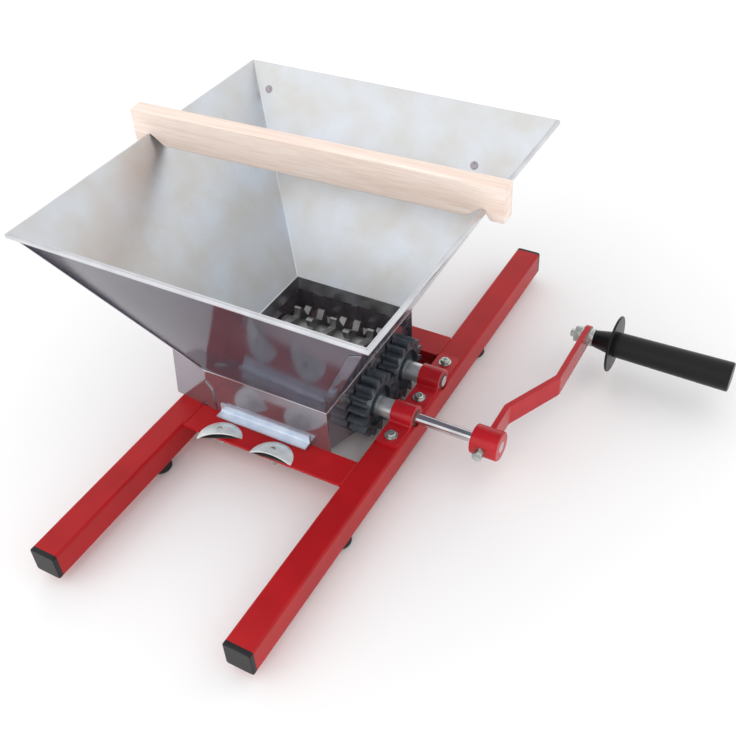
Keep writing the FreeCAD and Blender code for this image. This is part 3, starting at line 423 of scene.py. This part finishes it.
def fresh(name: str) -> bpy.types.Object:
    """Name the primitive that was just added and shake it down.

    Args:
        name: The new piece's name.

    Returns:
        The primitive, with its place in its mesh.
    """
    piece = bpy.context.active_object
    piece.name = name
    shake_down(piece)
    return piece


def slab(name: str, low: Vector, high: Vector) -> bpy.types.Object:
    """Add a block between two corners.

    Args:
        name: The new piece's name.
        low: Lowest corner in metres.
        high: Highest corner in metres.

    Returns:
        The block, with its place in its mesh.
    """
    deselect_all()
    bpy.ops.mesh.primitive_cube_add(size=1.0, location=(low + high) / 2, scale=high - low)
    return fresh(name)


def copy_of(model: bpy.types.Object, name: str, move: Matrix) -> bpy.types.Object:
    """Copy a modelled piece with a mesh of its own and move the copy to its place.

    Args:
        model: The piece to copy.
        name: The copy's name.
        move: From where the model is to where the copy goes.

    Returns:
        The copy, with its place in its mesh.
    """
    copy = model.copy()
    copy.data = model.data.copy()
    copy.name = name
    bpy.context.scene.collection.objects.link(copy)
    copy.matrix_world = move
    shake_down(copy)
    return copy


def pick(piece: bpy.types.Object, kind: Pick, test: Callable[[Any], bool]) -> None:
    """Open the piece for editing and select only what passes a test.

    Args:
        piece: The piece to edit.
        kind: Corners, edges or faces.
        test: Takes a corner, edge or face and says whether to select it.
    """
    if bpy.context.mode == "OBJECT":
        take(piece)
        bpy.ops.object.mode_set(mode="EDIT")
    group, mode = kind.value
    bpy.ops.mesh.select_mode(type=mode)
    bpy.ops.mesh.select_all(action="DESELECT")
    mesh = bmesh.from_edit_mesh(piece.data)
    for item in getattr(mesh, group):
        if test(item):
            item.select_set(True)
    mesh.select_flush_mode()
    bmesh.update_edit_mesh(piece.data)


def open_ends(piece: bpy.types.Object) -> None:
    """Take away a block's top and bottom faces, so that only its four walls are left."""
    pick(piece, Pick.FACES, lambda face: abs(face.normal.z) > FACING)
    bpy.ops.mesh.delete(type="ONLY_FACE")


def cut_away(piece: bpy.types.Object, point: Vector, way: Vector, fill: bool) -> None:
    """Cut a piece at a plane and drop what lies behind it.

    Args:
        piece: The piece to cut.
        point: A point on the plane.
        way: The direction from the plane to the part that stays.
        fill: True to close the cut with a face.
    """
    pick(piece, Pick.FACES, lambda face: True)
    bpy.ops.mesh.bisect(plane_co=point, plane_no=way, use_fill=fill, clear_inner=True)


def upright(edge: Any) -> bool:
    """Say whether an edge climbs more than it runs along the floor."""
    run = edge.verts[1].co - edge.verts[0].co
    return abs(run.z) > UPRIGHT * run.length


def thicken(piece: bpy.types.Object, depth: float, outward: bool = False, inner_slot: int = 0,
            edge_slot: int = 0) -> None:
    """Give a skin its thickness and apply it.

    Args:
        piece: A skin whose faces point outwards.
        depth: Thickness in millimetres.
        outward: True where the wall grows out of the skin, false where it grows in.
        inner_slot: How many material slots on the grown wall's finish is.
        edge_slot: How many material slots on the finish of the edges is.
    """
    while len(piece.data.materials) <= max(inner_slot, edge_slot):
        piece.data.materials.append(None)
    take(piece)
    wall = piece.modifiers.new("wall", "SOLIDIFY")
    wall.thickness = depth * MM
    wall.offset = 1.0 if outward else -1.0
    wall.use_even_offset = True
    wall.material_offset = inner_slot
    wall.material_offset_rim = edge_slot
    bpy.ops.object.modifier_apply(modifier=wall.name)


def ease_edges(piece: bpy.types.Object, width: float, segments: int = 2,
               above_deg: float = FOLD_DEG) -> None:
    """Round the sharp edges of a closed piece and apply it.

    Args:
        piece: A closed piece.
        width: Width of the rounding in millimetres.
        segments: Facets across the rounding.
        above_deg: Only edges that turn by more than this are rounded.
    """
    take(piece)
    ease = piece.modifiers.new("eased_edges", "BEVEL")
    ease.width = width * MM
    ease.segments = segments
    ease.limit_method = "ANGLE"
    ease.angle_limit = math.radians(above_deg)
    bpy.ops.object.modifier_apply(modifier=ease.name)


@dataclass
class SubAssembly:
    """What every sub-assembly works with: the finishes and the machine's zero."""

    workshop: Workshop
    datum: Datum

    def hand_over(self, piece: bpy.types.Object, body: str, slot: str,
                  finishes: tuple[Finish | SpruceBoard, ...],
                  replaced: tuple[str, ...] = ()) -> None:
        """Smooth, dress and mount a finished piece.

        Args:
            piece: The finished mesh.
            body: The moving body that it rides on.
            slot: The record's material slot; not used.
            finishes: Its finishes, in slot order.
            replaced: CAD nodes that it stands for.
        """
        take(piece)
        bpy.ops.object.shade_smooth_by_angle(angle=SMOOTH_BELOW)
        self.workshop.dress(piece, *finishes)
        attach(piece, body)
        if replaced:
            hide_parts(*replaced)
        log.info("%s: %d faces", piece.name, len(piece.data.polygons))

    def strip(self, name: str, corners: tuple[Vector, Vector, Vector, Vector],
              thick: float) -> bpy.types.Object:
        """Lay a thin strip of sheet on a wall, with eased edges.

        Args:
            name: The strip's name.
            corners: Low left, low right, high left and high right, seen from outside.
            thick: Thickness in millimetres.

        Returns:
            The closed strip, whose edges have a slot of their own.
        """
        deselect_all()
        bpy.ops.mesh.primitive_plane_add(size=1.0)
        piece = bpy.context.active_object
        piece.name = name
        for vertex, corner in zip(piece.data.vertices, corners):
            vertex.co = corner
        thicken(piece, thick, outward=True, edge_slot=1)
        ease_edges(piece, thick * STRIP_ROUNDING)
        return piece


@dataclass(frozen=True)
class Lap:
    """A strip along a corner fold: its reach in from the fold and its slanted ends."""

    name: str
    side: Side
    width_mm: float
    thick_mm: float
    fold_ends_mm: tuple[float, float]
    free_ends_mm: tuple[float, float]
    finishes: tuple[Finish, ...]
    gap_mm: float = 0.6


@dataclass
class Hopper(SubAssembly):
    """The flared hopper: folded panels, skirt, rolled hem and laps along its front corners."""

    sheet_mm: float = 1.2
    bend_mm: float = 1.5
    bend_facets: int = 3
    hem_height_mm: float = 4.5
    hem_proud_mm: float = 2.2
    hem_thick_mm: float = 3.0
    hem_round_mm: float = 1.1
    hem_turn_deg: float = 40.0
    hem_facets: int = 3
    skirt_mm: float = 16.0
    clip_start_mm: float = 55.0
    clip_drop_mm: float = 25.0
    clip_reach_mm: float = 4.0
    clip_past_mm: float = 1.0
    clip_hair_mm: float = 0.01
    band_mm: float = 1.6
    band_proud_mm: float = 0.7
    band_thick_mm: float = 0.9
    band_round_mm: float = 0.3
    spot_r_mm: float = 4.5
    spot_rise_mm: float = 0.6
    spot_seat_share: float = 0.25
    spot_lip_share: float = 0.4
    spot_dip_share: float = 0.4
    spot_round_share: float = 0.3
    spot_facets: int = 32
    spots_mm: tuple[tuple[float, float], ...] = ((-172.0, 224.0), (98.0, 196.0))
    laps: tuple[Lap, ...] = (
        Lap("hopper_right_lap", Side.RIGHT, 11.0, 1.0, (88.0, 232.0), (100.0, 224.0),
            (OUTER_SHEET_PAINTED_SHADE, CUT_EDGE)),
        # The left lap is a real fold, dressed all in the bright edge finish: a painted highlight
        # along the left corner.
        Lap("hopper_left_lap_painted_highlight", Side.LEFT, 3.0, 0.8, (58.0, 240.0), (63.0, 236.0), (CUT_EDGE,)),
    )

    def foot(self) -> tuple[Vector, Vector]:
        """Read the opening on top of the housing.

        Returns:
            Its low and high corner.
        """
        front_low, front_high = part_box("housing_front_wall")
        _, rear_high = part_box("housing_rear_wall")
        return (Vector((front_low.x, front_low.y, front_high.z)),
                Vector((front_high.x, rear_high.y, front_high.z)))

    def rim(self) -> tuple[Vector, Vector]:
        """Find the outside of the sheet at the rim, inside the hem.

        Returns:
            Its low and high corner.
        """
        low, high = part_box("hopper")
        proud = self.hem_proud_mm * MM
        return Vector((low.x + proud, low.y + proud, high.z)), high - Vector((proud, proud, 0))

    def skirt(self) -> tuple[Vector, Vector]:
        """Find the outside of the skirt, between the housing's walls.

        Returns:
            Its low and high corner.
        """
        _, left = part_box("housing_left_plate")
        right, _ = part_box("housing_right_plate")
        _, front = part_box("housing_front_wall")
        rear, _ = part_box("housing_rear_wall")
        return Vector((left.x, front.y, front.z)), Vector((right.x, rear.y, front.z))

    def resize_selection(self, old: tuple[Vector, Vector], new: tuple[Vector, Vector]) -> None:
        """Fit the selected loop from one rectangle to another.

        Args:
            old: Low and high corner that the loop has now.
            new: Low and high corner that it gets.
        """
        size = old[1] - old[0]
        wanted = new[1] - new[0]
        centre = (old[0] + old[1]) / 2
        shift = (new[0] + new[1]) / 2 - centre
        bpy.ops.transform.resize(value=(wanted.x / size.x, wanted.y / size.y, 1.0),
                                 center_override=centre)
        bpy.ops.transform.translate(value=(shift.x, shift.y, 0.0))

    def fold_panels(self) -> None:
        """Fold the four panels with their ledge and skirt out of one sheet."""
        foot, rim = self.foot(), self.rim()
        top = rim[1].z
        base = foot[0].z
        shell = slab("hopper_panels", foot[0], Vector((foot[1].x, foot[1].y, top)))
        open_ends(shell)
        pick(shell, Pick.CORNERS, lambda corner: corner.co.z > (top + base) / 2)
        lifted = (Vector((foot[0].x, foot[0].y, top)), Vector((foot[1].x, foot[1].y, top)))
        self.resize_selection(lifted, rim)
        pick(shell, Pick.EDGES, upright)
        bpy.ops.mesh.bevel(offset=self.bend_mm * MM, segments=self.bend_facets, affect="EDGES")
        pick(shell, Pick.EDGES, lambda edge: max(v.co.z for v in edge.verts) < base + MM)
        bpy.ops.mesh.extrude_edges_move(TRANSFORM_OT_translate={"value": (0.0, 0.0, 0.0)})
        self.resize_selection(foot, self.skirt())
        bpy.ops.mesh.extrude_edges_move(
            TRANSFORM_OT_translate={"value": (0.0, 0.0, -self.skirt_mm * MM)})
        thicken(shell, self.sheet_mm, inner_slot=1, edge_slot=2)
        self.clip_skirt(shell)
        # The outside gets the sheet darkened with painted shade, the inside the pale satin sheet,
        # the edges the bright edge finish.
        self.hand_over(shell, "frame", "stainless_sheet",
                       (OUTER_SHEET_PAINTED_SHADE, SATIN_SHEET, CUT_EDGE), ("hopper",))

    def clip_skirt(self, shell: bpy.types.Object) -> None:
        """Cut the skirt away behind the clipped corner of the right plate.

        Args:
            shell: The folded shell.
        """
        _, corner = self.skirt()
        start = Vector((corner.x - self.clip_reach_mm * MM, self.clip_start_mm * MM,
                        corner.z - self.clip_drop_mm * MM))
        # The wedge ends a hair below the ledge and past the side, so that no faces coincide.
        end = corner + Vector((self.clip_past_mm, 0.0, -self.clip_hair_mm)) * MM
        wedge = slab("clip_wedge", start, end)
        slope = Vector((0.0, self.clip_drop_mm * MM, corner.y - start.y))
        cut_away(wedge, Vector((start.x, start.y, corner.z)), slope, fill=True)
        take(shell)
        cut = shell.modifiers.new("clip", "BOOLEAN")
        cut.object = wedge
        cut.operation = "DIFFERENCE"
        bpy.ops.object.modifier_apply(modifier=cut.name)
        bpy.data.objects.remove(wedge)

    def roll_hem(self) -> None:
        """Roll the hem around the rim."""
        low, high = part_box("hopper")
        ring = slab("hopper_rolled_hem", Vector((low.x, low.y, high.z - self.hem_height_mm * MM)),
                    high)
        open_ends(ring)
        thicken(ring, self.hem_thick_mm)
        ease_edges(ring, self.hem_round_mm, self.hem_facets, self.hem_turn_deg)
        self.hand_over(ring, "frame", "stainless_sheet", (CUT_EDGE,), ("hopper",))

    def on_front(self, side: Side, inset: float, up: float) -> Vector:
        """Find a point on the front panel, measured in from one of its corner folds.

        Args:
            side: The fold to measure from.
            inset: Distance in from the fold along X, in millimetres.
            up: Height above the rail tops, in millimetres.

        Returns:
            The point in metres.
        """
        (foot_low, foot_high), (rim_low, rim_high) = self.foot(), self.rim()
        z = self.datum.rail_top + up * MM
        share = (z - foot_low.z) / (rim_low.z - foot_low.z)
        if side is Side.LEFT:
            x = foot_low.x + share * (rim_low.x - foot_low.x) + inset * MM
        else:
            x = foot_high.x + share * (rim_high.x - foot_high.x) - inset * MM
        return Vector((x, foot_low.y + share * (rim_low.y - foot_low.y), z))

    def lay_lap(self, lap: Lap) -> None:
        """Lay one side panel's lap over the front panel.

        Args:
            lap: The lap's sizes and finishes.
        """
        at_fold = [self.on_front(lap.side, lap.gap_mm, up) for up in lap.fold_ends_mm]
        free = [self.on_front(lap.side, lap.width_mm, up) for up in lap.free_ends_mm]
        left, right = (at_fold, free) if lap.side is Side.LEFT else (free, at_fold)
        piece = self.strip(lap.name, (left[0], right[0], left[1], right[1]), lap.thick_mm)
        self.hand_over(piece, "frame", "stainless_sheet", lap.finishes, ("hopper",))

    def bind_foot(self) -> None:
        """Fold the thin band around the foot, where the panels meet the housing."""
        low, high = self.foot()
        proud = Vector((self.band_proud_mm, self.band_proud_mm, self.band_mm / 2)) * MM
        band = slab("hopper_foot_band", low - proud, high + proud)
        open_ends(band)
        thicken(band, self.band_thick_mm)
        ease_edges(band, self.band_round_mm)
        self.hand_over(band, "frame", "stainless_sheet", (CUT_EDGE,), ("hopper",))

    def mark_spot_welds(self) -> None:
        """Raise the dished marks of the spot welds on the inside of the rear panel."""
        (_, foot), (_, rim) = self.foot(), self.rim()
        climb = Vector((0.0, rim.y - foot.y, rim.z - foot.z))
        inward = Vector((0.0, -climb.z, climb.y)).normalized()
        seat = (self.sheet_mm + self.spot_rise_mm * self.spot_seat_share) * MM
        centres = []
        for x, up in self.spots_mm:
            centre = self.datum.at(x, 0.0, up)
            centre.y = foot.y + (centre.z - foot.z) / climb.z * climb.y
            centres.append(centre + inward * seat)
        deselect_all()
        bpy.ops.mesh.primitive_cylinder_add(
            vertices=self.spot_facets, radius=self.spot_r_mm * MM,
            depth=self.spot_rise_mm * MM, location=centres[0],
            rotation=inward.to_track_quat("Z", "Y").to_euler())
        model = fresh("spot_weld_model")
        pick(model, Pick.FACES, lambda face: face.normal.dot(inward) > FACING)
        bpy.ops.mesh.inset(thickness=self.spot_r_mm * self.spot_lip_share * MM)
        bpy.ops.transform.translate(value=inward * self.spot_rise_mm * -self.spot_dip_share * MM)
        ease_edges(model, self.spot_rise_mm * self.spot_round_share, above_deg=CUT_DEG)
        for number, centre in enumerate(centres, 1):
            spot = copy_of(model, f"hopper_spot_weld_{number}",
                           Matrix.Translation(centre - centres[0]))
            self.hand_over(spot, "frame", "stainless_sheet", (WALL_SHEET,), ("hopper",))
        bpy.data.objects.remove(model)

    def build(self) -> None:
        """Build the hopper in place of its CAD solid."""
        self.fold_panels()
        self.roll_hem()
        for lap in self.laps:
            self.lay_lap(lap)
        self.bind_foot()
        self.mark_spot_welds()


@dataclass
class HousingTab(SubAssembly):
    """The left plate's tab, folded over the front wall and cut off at a slant."""

    wide_mm: float = 7.6
    foot_gap_mm: float = 0.3
    inner_top_mm: float = 29.5
    outer_top_mm: float = 40.0
    thick_mm: float = 1.5

    def build(self) -> None:
        """Lay the tab on the front wall."""
        corner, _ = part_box("housing_front_wall")

        def on_wall(inset: float, up: float) -> Vector:
            """Find a point on the wall from its left edge and the rail tops."""
            return Vector((corner.x + inset * MM, corner.y, self.datum.rail_top + up * MM))

        tab = self.strip("housing_front_tab",
                         (on_wall(0.0, self.foot_gap_mm), on_wall(self.wide_mm, self.foot_gap_mm),
                          on_wall(0.0, self.outer_top_mm),
                          on_wall(self.wide_mm, self.inner_top_mm)), self.thick_mm)
        self.hand_over(tab, "frame", "stainless_sheet", (WALL_SHEET, CUT_EDGE))


@dataclass(frozen=True)
class CapPlace:
    """Where a clamp cap stands: its side, its stud's place and how far it is turned."""

    side: Side
    x_mm: float
    turn_deg: float

    def rearward(self) -> Vector:
        """Return the direction that the flat front cut turns its back to."""
        turn = math.radians(self.turn_deg)
        return Vector((-math.sin(turn), math.cos(turn), 0.0))


@dataclass
class ClampCaps(SubAssembly):
    """The half-round pressed caps on the front bar, each over a dark sheet of painted shade, with
    a stud through it.
    """

    places: tuple[CapPlace, ...] = (CapPlace(Side.LEFT, -53.0, 25.0),
                                    CapPlace(Side.RIGHT, 14.0, 4.0))
    radius_mm: float = 24.5
    rise_mm: float = 8.0
    sheet_mm: float = 1.5
    sheet_round_mm: float = 0.4
    back_mm: float = 8.0
    shade_pad_mm: float = 0.8
    shade_pad_lift_share: float = 0.6
    shade_pad_round_mm: float = 0.15
    stud_y_mm: float = -120.5
    stud_r_mm: float = 3.0
    stud_tip_mm: float = -14.0
    stud_proud_mm: float = 0.15
    stud_lip_mm: float = 1.1
    stud_dip_mm: float = 0.2
    stud_round_mm: float = 0.15
    stud_facets: int = 40
    facets: int = 96
    rings: int = 72

    def ball_mm(self) -> float:
        """Return the radius of the ball that a dome is a part of."""
        return (self.radius_mm ** 2 + self.rise_mm ** 2) / (2 * self.rise_mm)

    def middle(self, place: CapPlace, up: float) -> Vector:
        """Find the middle of a cap's flat front cut.

        Args:
            place: The cap's place.
            up: Height above the rail tops, in millimetres.

        Returns:
            The point in metres.
        """
        turn = math.radians(place.turn_deg)
        return self.datum.at(place.x_mm + self.back_mm * math.sin(turn),
                             self.stud_y_mm - self.back_mm * math.cos(turn), up)

    def dome(self, place: CapPlace) -> None:
        """Cut a half dome out of a ball, give it its wall and ease its edges.

        Args:
            place: The cap's place.
        """
        ball = self.ball_mm()
        centre = self.middle(place, self.rise_mm - ball)
        deselect_all()
        bpy.ops.mesh.primitive_uv_sphere_add(segments=self.facets, ring_count=self.rings,
                                             radius=ball * MM, location=centre)
        dome = fresh(f"{place.side.value}_clamp_dome")
        cut_away(dome, self.datum.at(0.0, 0.0, 0.0), Vector((0.0, 0.0, 1.0)), fill=False)
        cut_away(dome, centre, place.rearward(), fill=False)
        thicken(dome, self.sheet_mm, inner_slot=1)
        ease_edges(dome, self.sheet_round_mm, above_deg=CUT_DEG)
        # The dome's inside is dressed in the dark painted shade.
        self.hand_over(dome, "frame", "galvanised_sheet", (CAP_TOP, CAP_PAINTED_SHADE),
                       (f"{place.side.value}_clamp_cap",))

    def shade_pad(self, place: CapPlace) -> None:
        """Cut the dark half-round sheet under a dome: painted shade for the shadow in its hollow.

        Args:
            place: The cap's place.
        """
        deselect_all()
        bpy.ops.mesh.primitive_cylinder_add(
            vertices=self.facets, radius=(self.radius_mm - self.sheet_mm) * MM,
            depth=self.shade_pad_mm * MM, location=self.middle(place, self.shade_pad_mm * self.shade_pad_lift_share))
        shade_pad = fresh(f"{place.side.value}_clamp_shade_pad")
        cut_away(shade_pad, self.middle(place, 0.0), place.rearward(), fill=True)
        ease_edges(shade_pad, self.shade_pad_round_mm, above_deg=CUT_DEG)
        self.hand_over(shade_pad, "frame", "galvanised_sheet", (CAP_PAINTED_SHADE,),
                       (f"{place.side.value}_clamp_cap",))

    def stud(self, place: CapPlace) -> None:
        """Turn the stud, ease its ends and sink the middle of its top.

        Args:
            place: The cap's place.
        """
        ball = self.ball_mm()
        dome_up = math.sqrt(ball ** 2 - self.back_mm ** 2) - (ball - self.rise_mm)
        foot = self.datum.at(place.x_mm, self.stud_y_mm, self.stud_tip_mm)
        head = self.datum.at(place.x_mm, self.stud_y_mm, dome_up + self.stud_proud_mm)
        deselect_all()
        bpy.ops.mesh.primitive_cylinder_add(vertices=self.stud_facets,
                                            radius=self.stud_r_mm * MM,
                                            depth=head.z - foot.z, location=(foot + head) / 2)
        stud = fresh(f"{place.side.value}_clamp_stud")
        pick(stud, Pick.FACES, lambda face: face.normal.z > FACING)
        bpy.ops.mesh.inset(thickness=self.stud_lip_mm * MM)
        bpy.ops.transform.translate(value=(0.0, 0.0, -self.stud_dip_mm * MM))
        ease_edges(stud, self.stud_round_mm, above_deg=CUT_DEG)
        self.hand_over(stud, "frame", "zinc_hardware", (ZINC,), ("cap_bolts",))

    def build(self) -> None:
        """Build each cap, the dark sheet of painted shade under it and its stud in place of their
        CAD solids.
        """
        for place in self.places:
            self.dome(place)
            self.shade_pad(place)
            self.stud(place)


@dataclass
class WeldBeads(SubAssembly):
    """The weld beads that join both cross bars to the rails, under the powder coat."""

    radius_mm: float = 2.0
    sunk_share: float = 0.45
    end_gap_mm: float = 1.0
    ripple_mm: float = 2.2
    pinch: float = 0.86
    sides: int = 12

    def bead(self, low: Vector, high: Vector) -> bpy.types.Object:
        """Model one bead along Y between two points, with its ripples.

        Args:
            low: One end in metres.
            high: The other end in metres.

        Returns:
            The closed bead.
        """
        length = high.y - low.y
        deselect_all()
        bpy.ops.mesh.primitive_cylinder_add(vertices=self.sides, radius=self.radius_mm * MM,
                                            depth=length, location=(low + high) / 2,
                                            rotation=(math.pi / 2, 0, 0))
        bead = fresh("weld_bead_model")
        ripples = int(length / (self.ripple_mm * MM)) // 2 * 2 + 1
        pick(bead, Pick.EDGES,
             lambda edge: abs(edge.verts[1].co.y - edge.verts[0].co.y) > length / 2)
        bpy.ops.mesh.subdivide(number_cuts=ripples)
        step = length / (ripples + 1)
        pick(bead, Pick.CORNERS,
             lambda corner: round((corner.co.y - low.y) / step) % 2 == 0)
        bpy.ops.transform.resize(value=(self.pinch, 1.0, self.pinch),
                                 center_override=(low + high) / 2)
        take(bead)
        rounding = bead.modifiers.new("rounding", "SUBSURF")
        rounding.levels = 1
        rounding.render_levels = 1
        bpy.ops.object.modifier_apply(modifier=rounding.name)
        return bead

    def build(self) -> None:
        """Lay a bead at each end of both bars, copied from the first one."""
        starts: dict[str, Vector] = {}
        for row in ("front", "rear"):
            low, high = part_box(f"{row}_cross_bar")
            up = high.z - self.radius_mm * self.sunk_share * MM
            for side, x in ((Side.LEFT, low.x), (Side.RIGHT, high.x)):
                starts[f"{row}_{side.value}"] = Vector((x, low.y + self.end_gap_mm * MM, up))
        low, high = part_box("front_cross_bar")
        origin = starts["front_left"]
        model = self.bead(origin, Vector((origin.x, high.y - self.end_gap_mm * MM, origin.z)))
        for name, start in starts.items():
            bead = copy_of(model, f"weld_bead_{name}", Matrix.Translation(start - origin))
            self.hand_over(bead, "frame", "red_paint", (FRAME_RED,))
        bpy.data.objects.remove(model)


@dataclass
class WoodenBar(SubAssembly):
    """The loose bar across the hopper, planed, notched over both rims, edges eased."""

    skew_deg: float = 1.7
    thick_mm: float = 18.0
    notch_play_mm: float = 4.0
    notch_run_mm: float = 20.0
    notch_wall_mm: float = 0.02
    hair_mm: float = 0.005
    seat_mm: float = 0.3
    ease_mm: float = 1.0
    ease_facets: int = 3

    def build(self) -> None:
        """Saw, notch, turn and ease the bar in place of its CAD solid."""
        low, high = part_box("wooden_bar")
        rim_low, rim_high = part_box("hopper")
        skew = math.radians(self.skew_deg)
        length = ((high.x - low.x) - self.thick_mm * MM * math.sin(skew)) / math.cos(skew)
        centre = (low + high) / 2
        half = Vector((length, self.thick_mm * MM, high.z - low.z)) / 2
        bar = slab("wooden_bar_planed", centre - half, centre + half)
        play = self.notch_play_mm * MM
        raised = []
        # Two cuts a hair apart make each notch's outer wall when the stretch inside is raised.
        for rim, way in ((rim_low.x, 1.0), (rim_high.x, -1.0)):
            outer, inner = rim - way * play, rim + way * play
            raised += [outer, inner]
            for x in (outer - way * self.notch_wall_mm * MM, outer, inner,
                      rim + way * self.notch_run_mm * MM):
                pick(bar, Pick.FACES, lambda face: True)
                bpy.ops.mesh.bisect(plane_co=(x, centre.y, centre.z), plane_no=(1, 0, 0))
        pick(bar, Pick.CORNERS,
             lambda corner: corner.co.z < centre.z
             and min(abs(corner.co.x - x) for x in raised) < self.hair_mm * MM)
        lift = rim_high.z + self.seat_mm * MM - low.z
        bpy.ops.transform.translate(value=(0.0, 0.0, lift))
        bpy.ops.mesh.select_all(action="SELECT")
        bpy.ops.transform.rotate(value=-skew, orient_axis="Z", center_override=centre)
        ease_edges(bar, self.ease_mm, self.ease_facets)
        self.hand_over(bar, "bar", "beech_wood", (SpruceBoard(),), ("wooden_bar",))


@dataclass(frozen=True)
class Softbox:
    """A square area lamp that faces the machine, mirrored in bright metal or not."""

    name: str
    place_m: tuple[float, float, float]
    size_m: float
    power_w: float
    mirrored: bool


@dataclass
class Studio:
    """The pale floor, soft light and camera of the photograph."""

    camera_mm: tuple[float, float, float] = (382.44, -666.4, 770.1)
    azimuth_deg: float = 31.7
    elevation_deg: float = 41.3
    roll_rad: float = -0.068
    focal_px: float = 979.3
    sensor_mm: float = 36.0
    nearest_m: float = 0.01
    world_level: float = 1.0
    # The two plain lamps light the paint and the wood. Only the window shows in bright metal.
    lamps: tuple[Softbox, ...] = (
        Softbox("key", (-1.1, -2.4, 1.9), 3.0, 18.0, mirrored=False),
        Softbox("window", (-1.08, -2.3, 1.8), 3.0, 7.0, mirrored=True),
        Softbox("fill", (2.2, -0.4, 1.8), 2.5, 4.0, mirrored=False),
    )
    lamps_aim_m: tuple[float, float, float] = (0.0, 0.0, 0.1)
    floor_m: float = 14.0
    floor_drop_mm: float = 0.5
    floor_level: float = 0.97
    floor_roughness: float = 0.9
    floor_specular: float = 0.1

    def place_camera(self) -> None:
        """Place the camera as solved from the photograph."""
        azimuth = math.radians(self.azimuth_deg)
        elevation = math.radians(self.elevation_deg)
        back = Vector((math.sin(azimuth) * math.cos(elevation),
                       -math.cos(azimuth) * math.cos(elevation), math.sin(elevation)))
        level = Vector((math.cos(azimuth), math.sin(azimuth), 0.0))
        right = (level * math.cos(self.roll_rad)
                 + back.cross(level) * math.sin(self.roll_rad))
        lens = bpy.data.cameras.new("camera")
        lens.sensor_width = self.sensor_mm
        lens.lens = self.focal_px / IMAGE_PX * self.sensor_mm
        lens.clip_start = self.nearest_m
        camera = bpy.data.objects.new("camera", lens)
        bpy.context.scene.collection.objects.link(camera)
        turn = Matrix((right, back.cross(right), back)).transposed()
        camera.matrix_world = Matrix.Translation(Vector(self.camera_mm) * MM) @ turn.to_4x4()
        bpy.context.scene.camera = camera

    def light_world(self) -> None:
        """Surround the machine with plain white light from all sides."""
        world = bpy.data.worlds.new("studio")
        bpy.context.scene.world = world
        world.use_nodes = True
        tree = world.node_tree
        tree.nodes.clear()
        white = add_node(tree, "ShaderNodeBackground",
                         {"Color": grey(1.0), "Strength": self.world_level})
        add_node(tree, "ShaderNodeOutputWorld", None, {"Surface": white.outputs[0]})

    def hang_lamp(self, box: Softbox) -> None:
        """Hang one soft lamp and aim it at the machine.

        Args:
            box: The lamp's place, size and power.
        """
        data = bpy.data.lights.new(box.name, "AREA")
        data.size = box.size_m
        data.energy = box.power_w
        lamp = bpy.data.objects.new(box.name, data)
        bpy.context.scene.collection.objects.link(lamp)
        lamp.location = box.place_m
        lamp.visible_glossy = box.mirrored
        aim = Vector(self.lamps_aim_m) - Vector(box.place_m)
        lamp.rotation_euler = aim.to_track_quat("-Z", "Y").to_euler()

    def lay_floor(self) -> None:
        """Lay a pale paper floor that keeps the machine's shadow."""
        deselect_all()
        bpy.ops.mesh.primitive_plane_add(size=self.floor_m,
                                         location=(0.0, 0.0, -self.floor_drop_mm * MM))
        floor = bpy.context.active_object
        floor.name = "studio_floor"
        paper = empty_material("studio_paper")
        shader = add_node(paper.node_tree, "ShaderNodeBsdfPrincipled",
                          {"Base Color": grey(self.floor_level),
                           "Roughness": self.floor_roughness,
                           "Specular IOR Level": self.floor_specular})
        add_node(paper.node_tree, "ShaderNodeOutputMaterial", None,
                 {"Surface": shader.outputs["BSDF"]})
        floor.data.materials.append(paper)

    def build(self) -> None:
        """Set up camera, world, lamps, floor and the plain view transform."""
        self.place_camera()
        self.light_world()
        for box in self.lamps:
            self.hang_lamp(box)
        self.lay_floor()
        bpy.context.scene.view_settings.view_transform = "Standard"


def dress_cad(nodes: dict[str, bpy.types.Object], workshop: Workshop) -> None:
    """Give every CAD node its finish.

    Args:
        nodes: CAD objects by node name.
        workshop: The keeper of materials.
    """
    for name, node in nodes.items():
        finish = NODE_FINISH.get(name, ZINC)
        for prefix, other in PREFIX_FINISH:
            if name.startswith(prefix):
                finish = other
        if not node.data.materials:
            node.data.materials.append(None)
        workshop.dress(node, finish)
    log.info("dressed %d nodes", len(nodes))


def main(frame: dict[str, Any]) -> None:
    """Build the machine's looks and the studio.
    """
    logging.basicConfig(level=logging.INFO, format="%(name)s: %(message)s")
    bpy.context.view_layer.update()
    workshop = Workshop()
    datum = Datum.of_rails()
    deselect_all()
    dress_cad(frame["nodes"], workshop)
    for sub_assembly in (Hopper, HousingTab, ClampCaps, WeldBeads, WoodenBar):
        sub_assembly(workshop, datum).build()
    Studio().build()


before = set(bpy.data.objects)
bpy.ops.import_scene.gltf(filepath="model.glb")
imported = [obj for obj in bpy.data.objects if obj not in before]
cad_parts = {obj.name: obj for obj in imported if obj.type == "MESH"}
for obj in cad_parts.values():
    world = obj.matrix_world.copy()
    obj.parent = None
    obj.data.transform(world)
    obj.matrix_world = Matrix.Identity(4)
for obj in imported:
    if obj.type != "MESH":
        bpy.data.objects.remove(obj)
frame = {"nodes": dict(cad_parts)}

if __name__ == "__main__":
    main(frame)
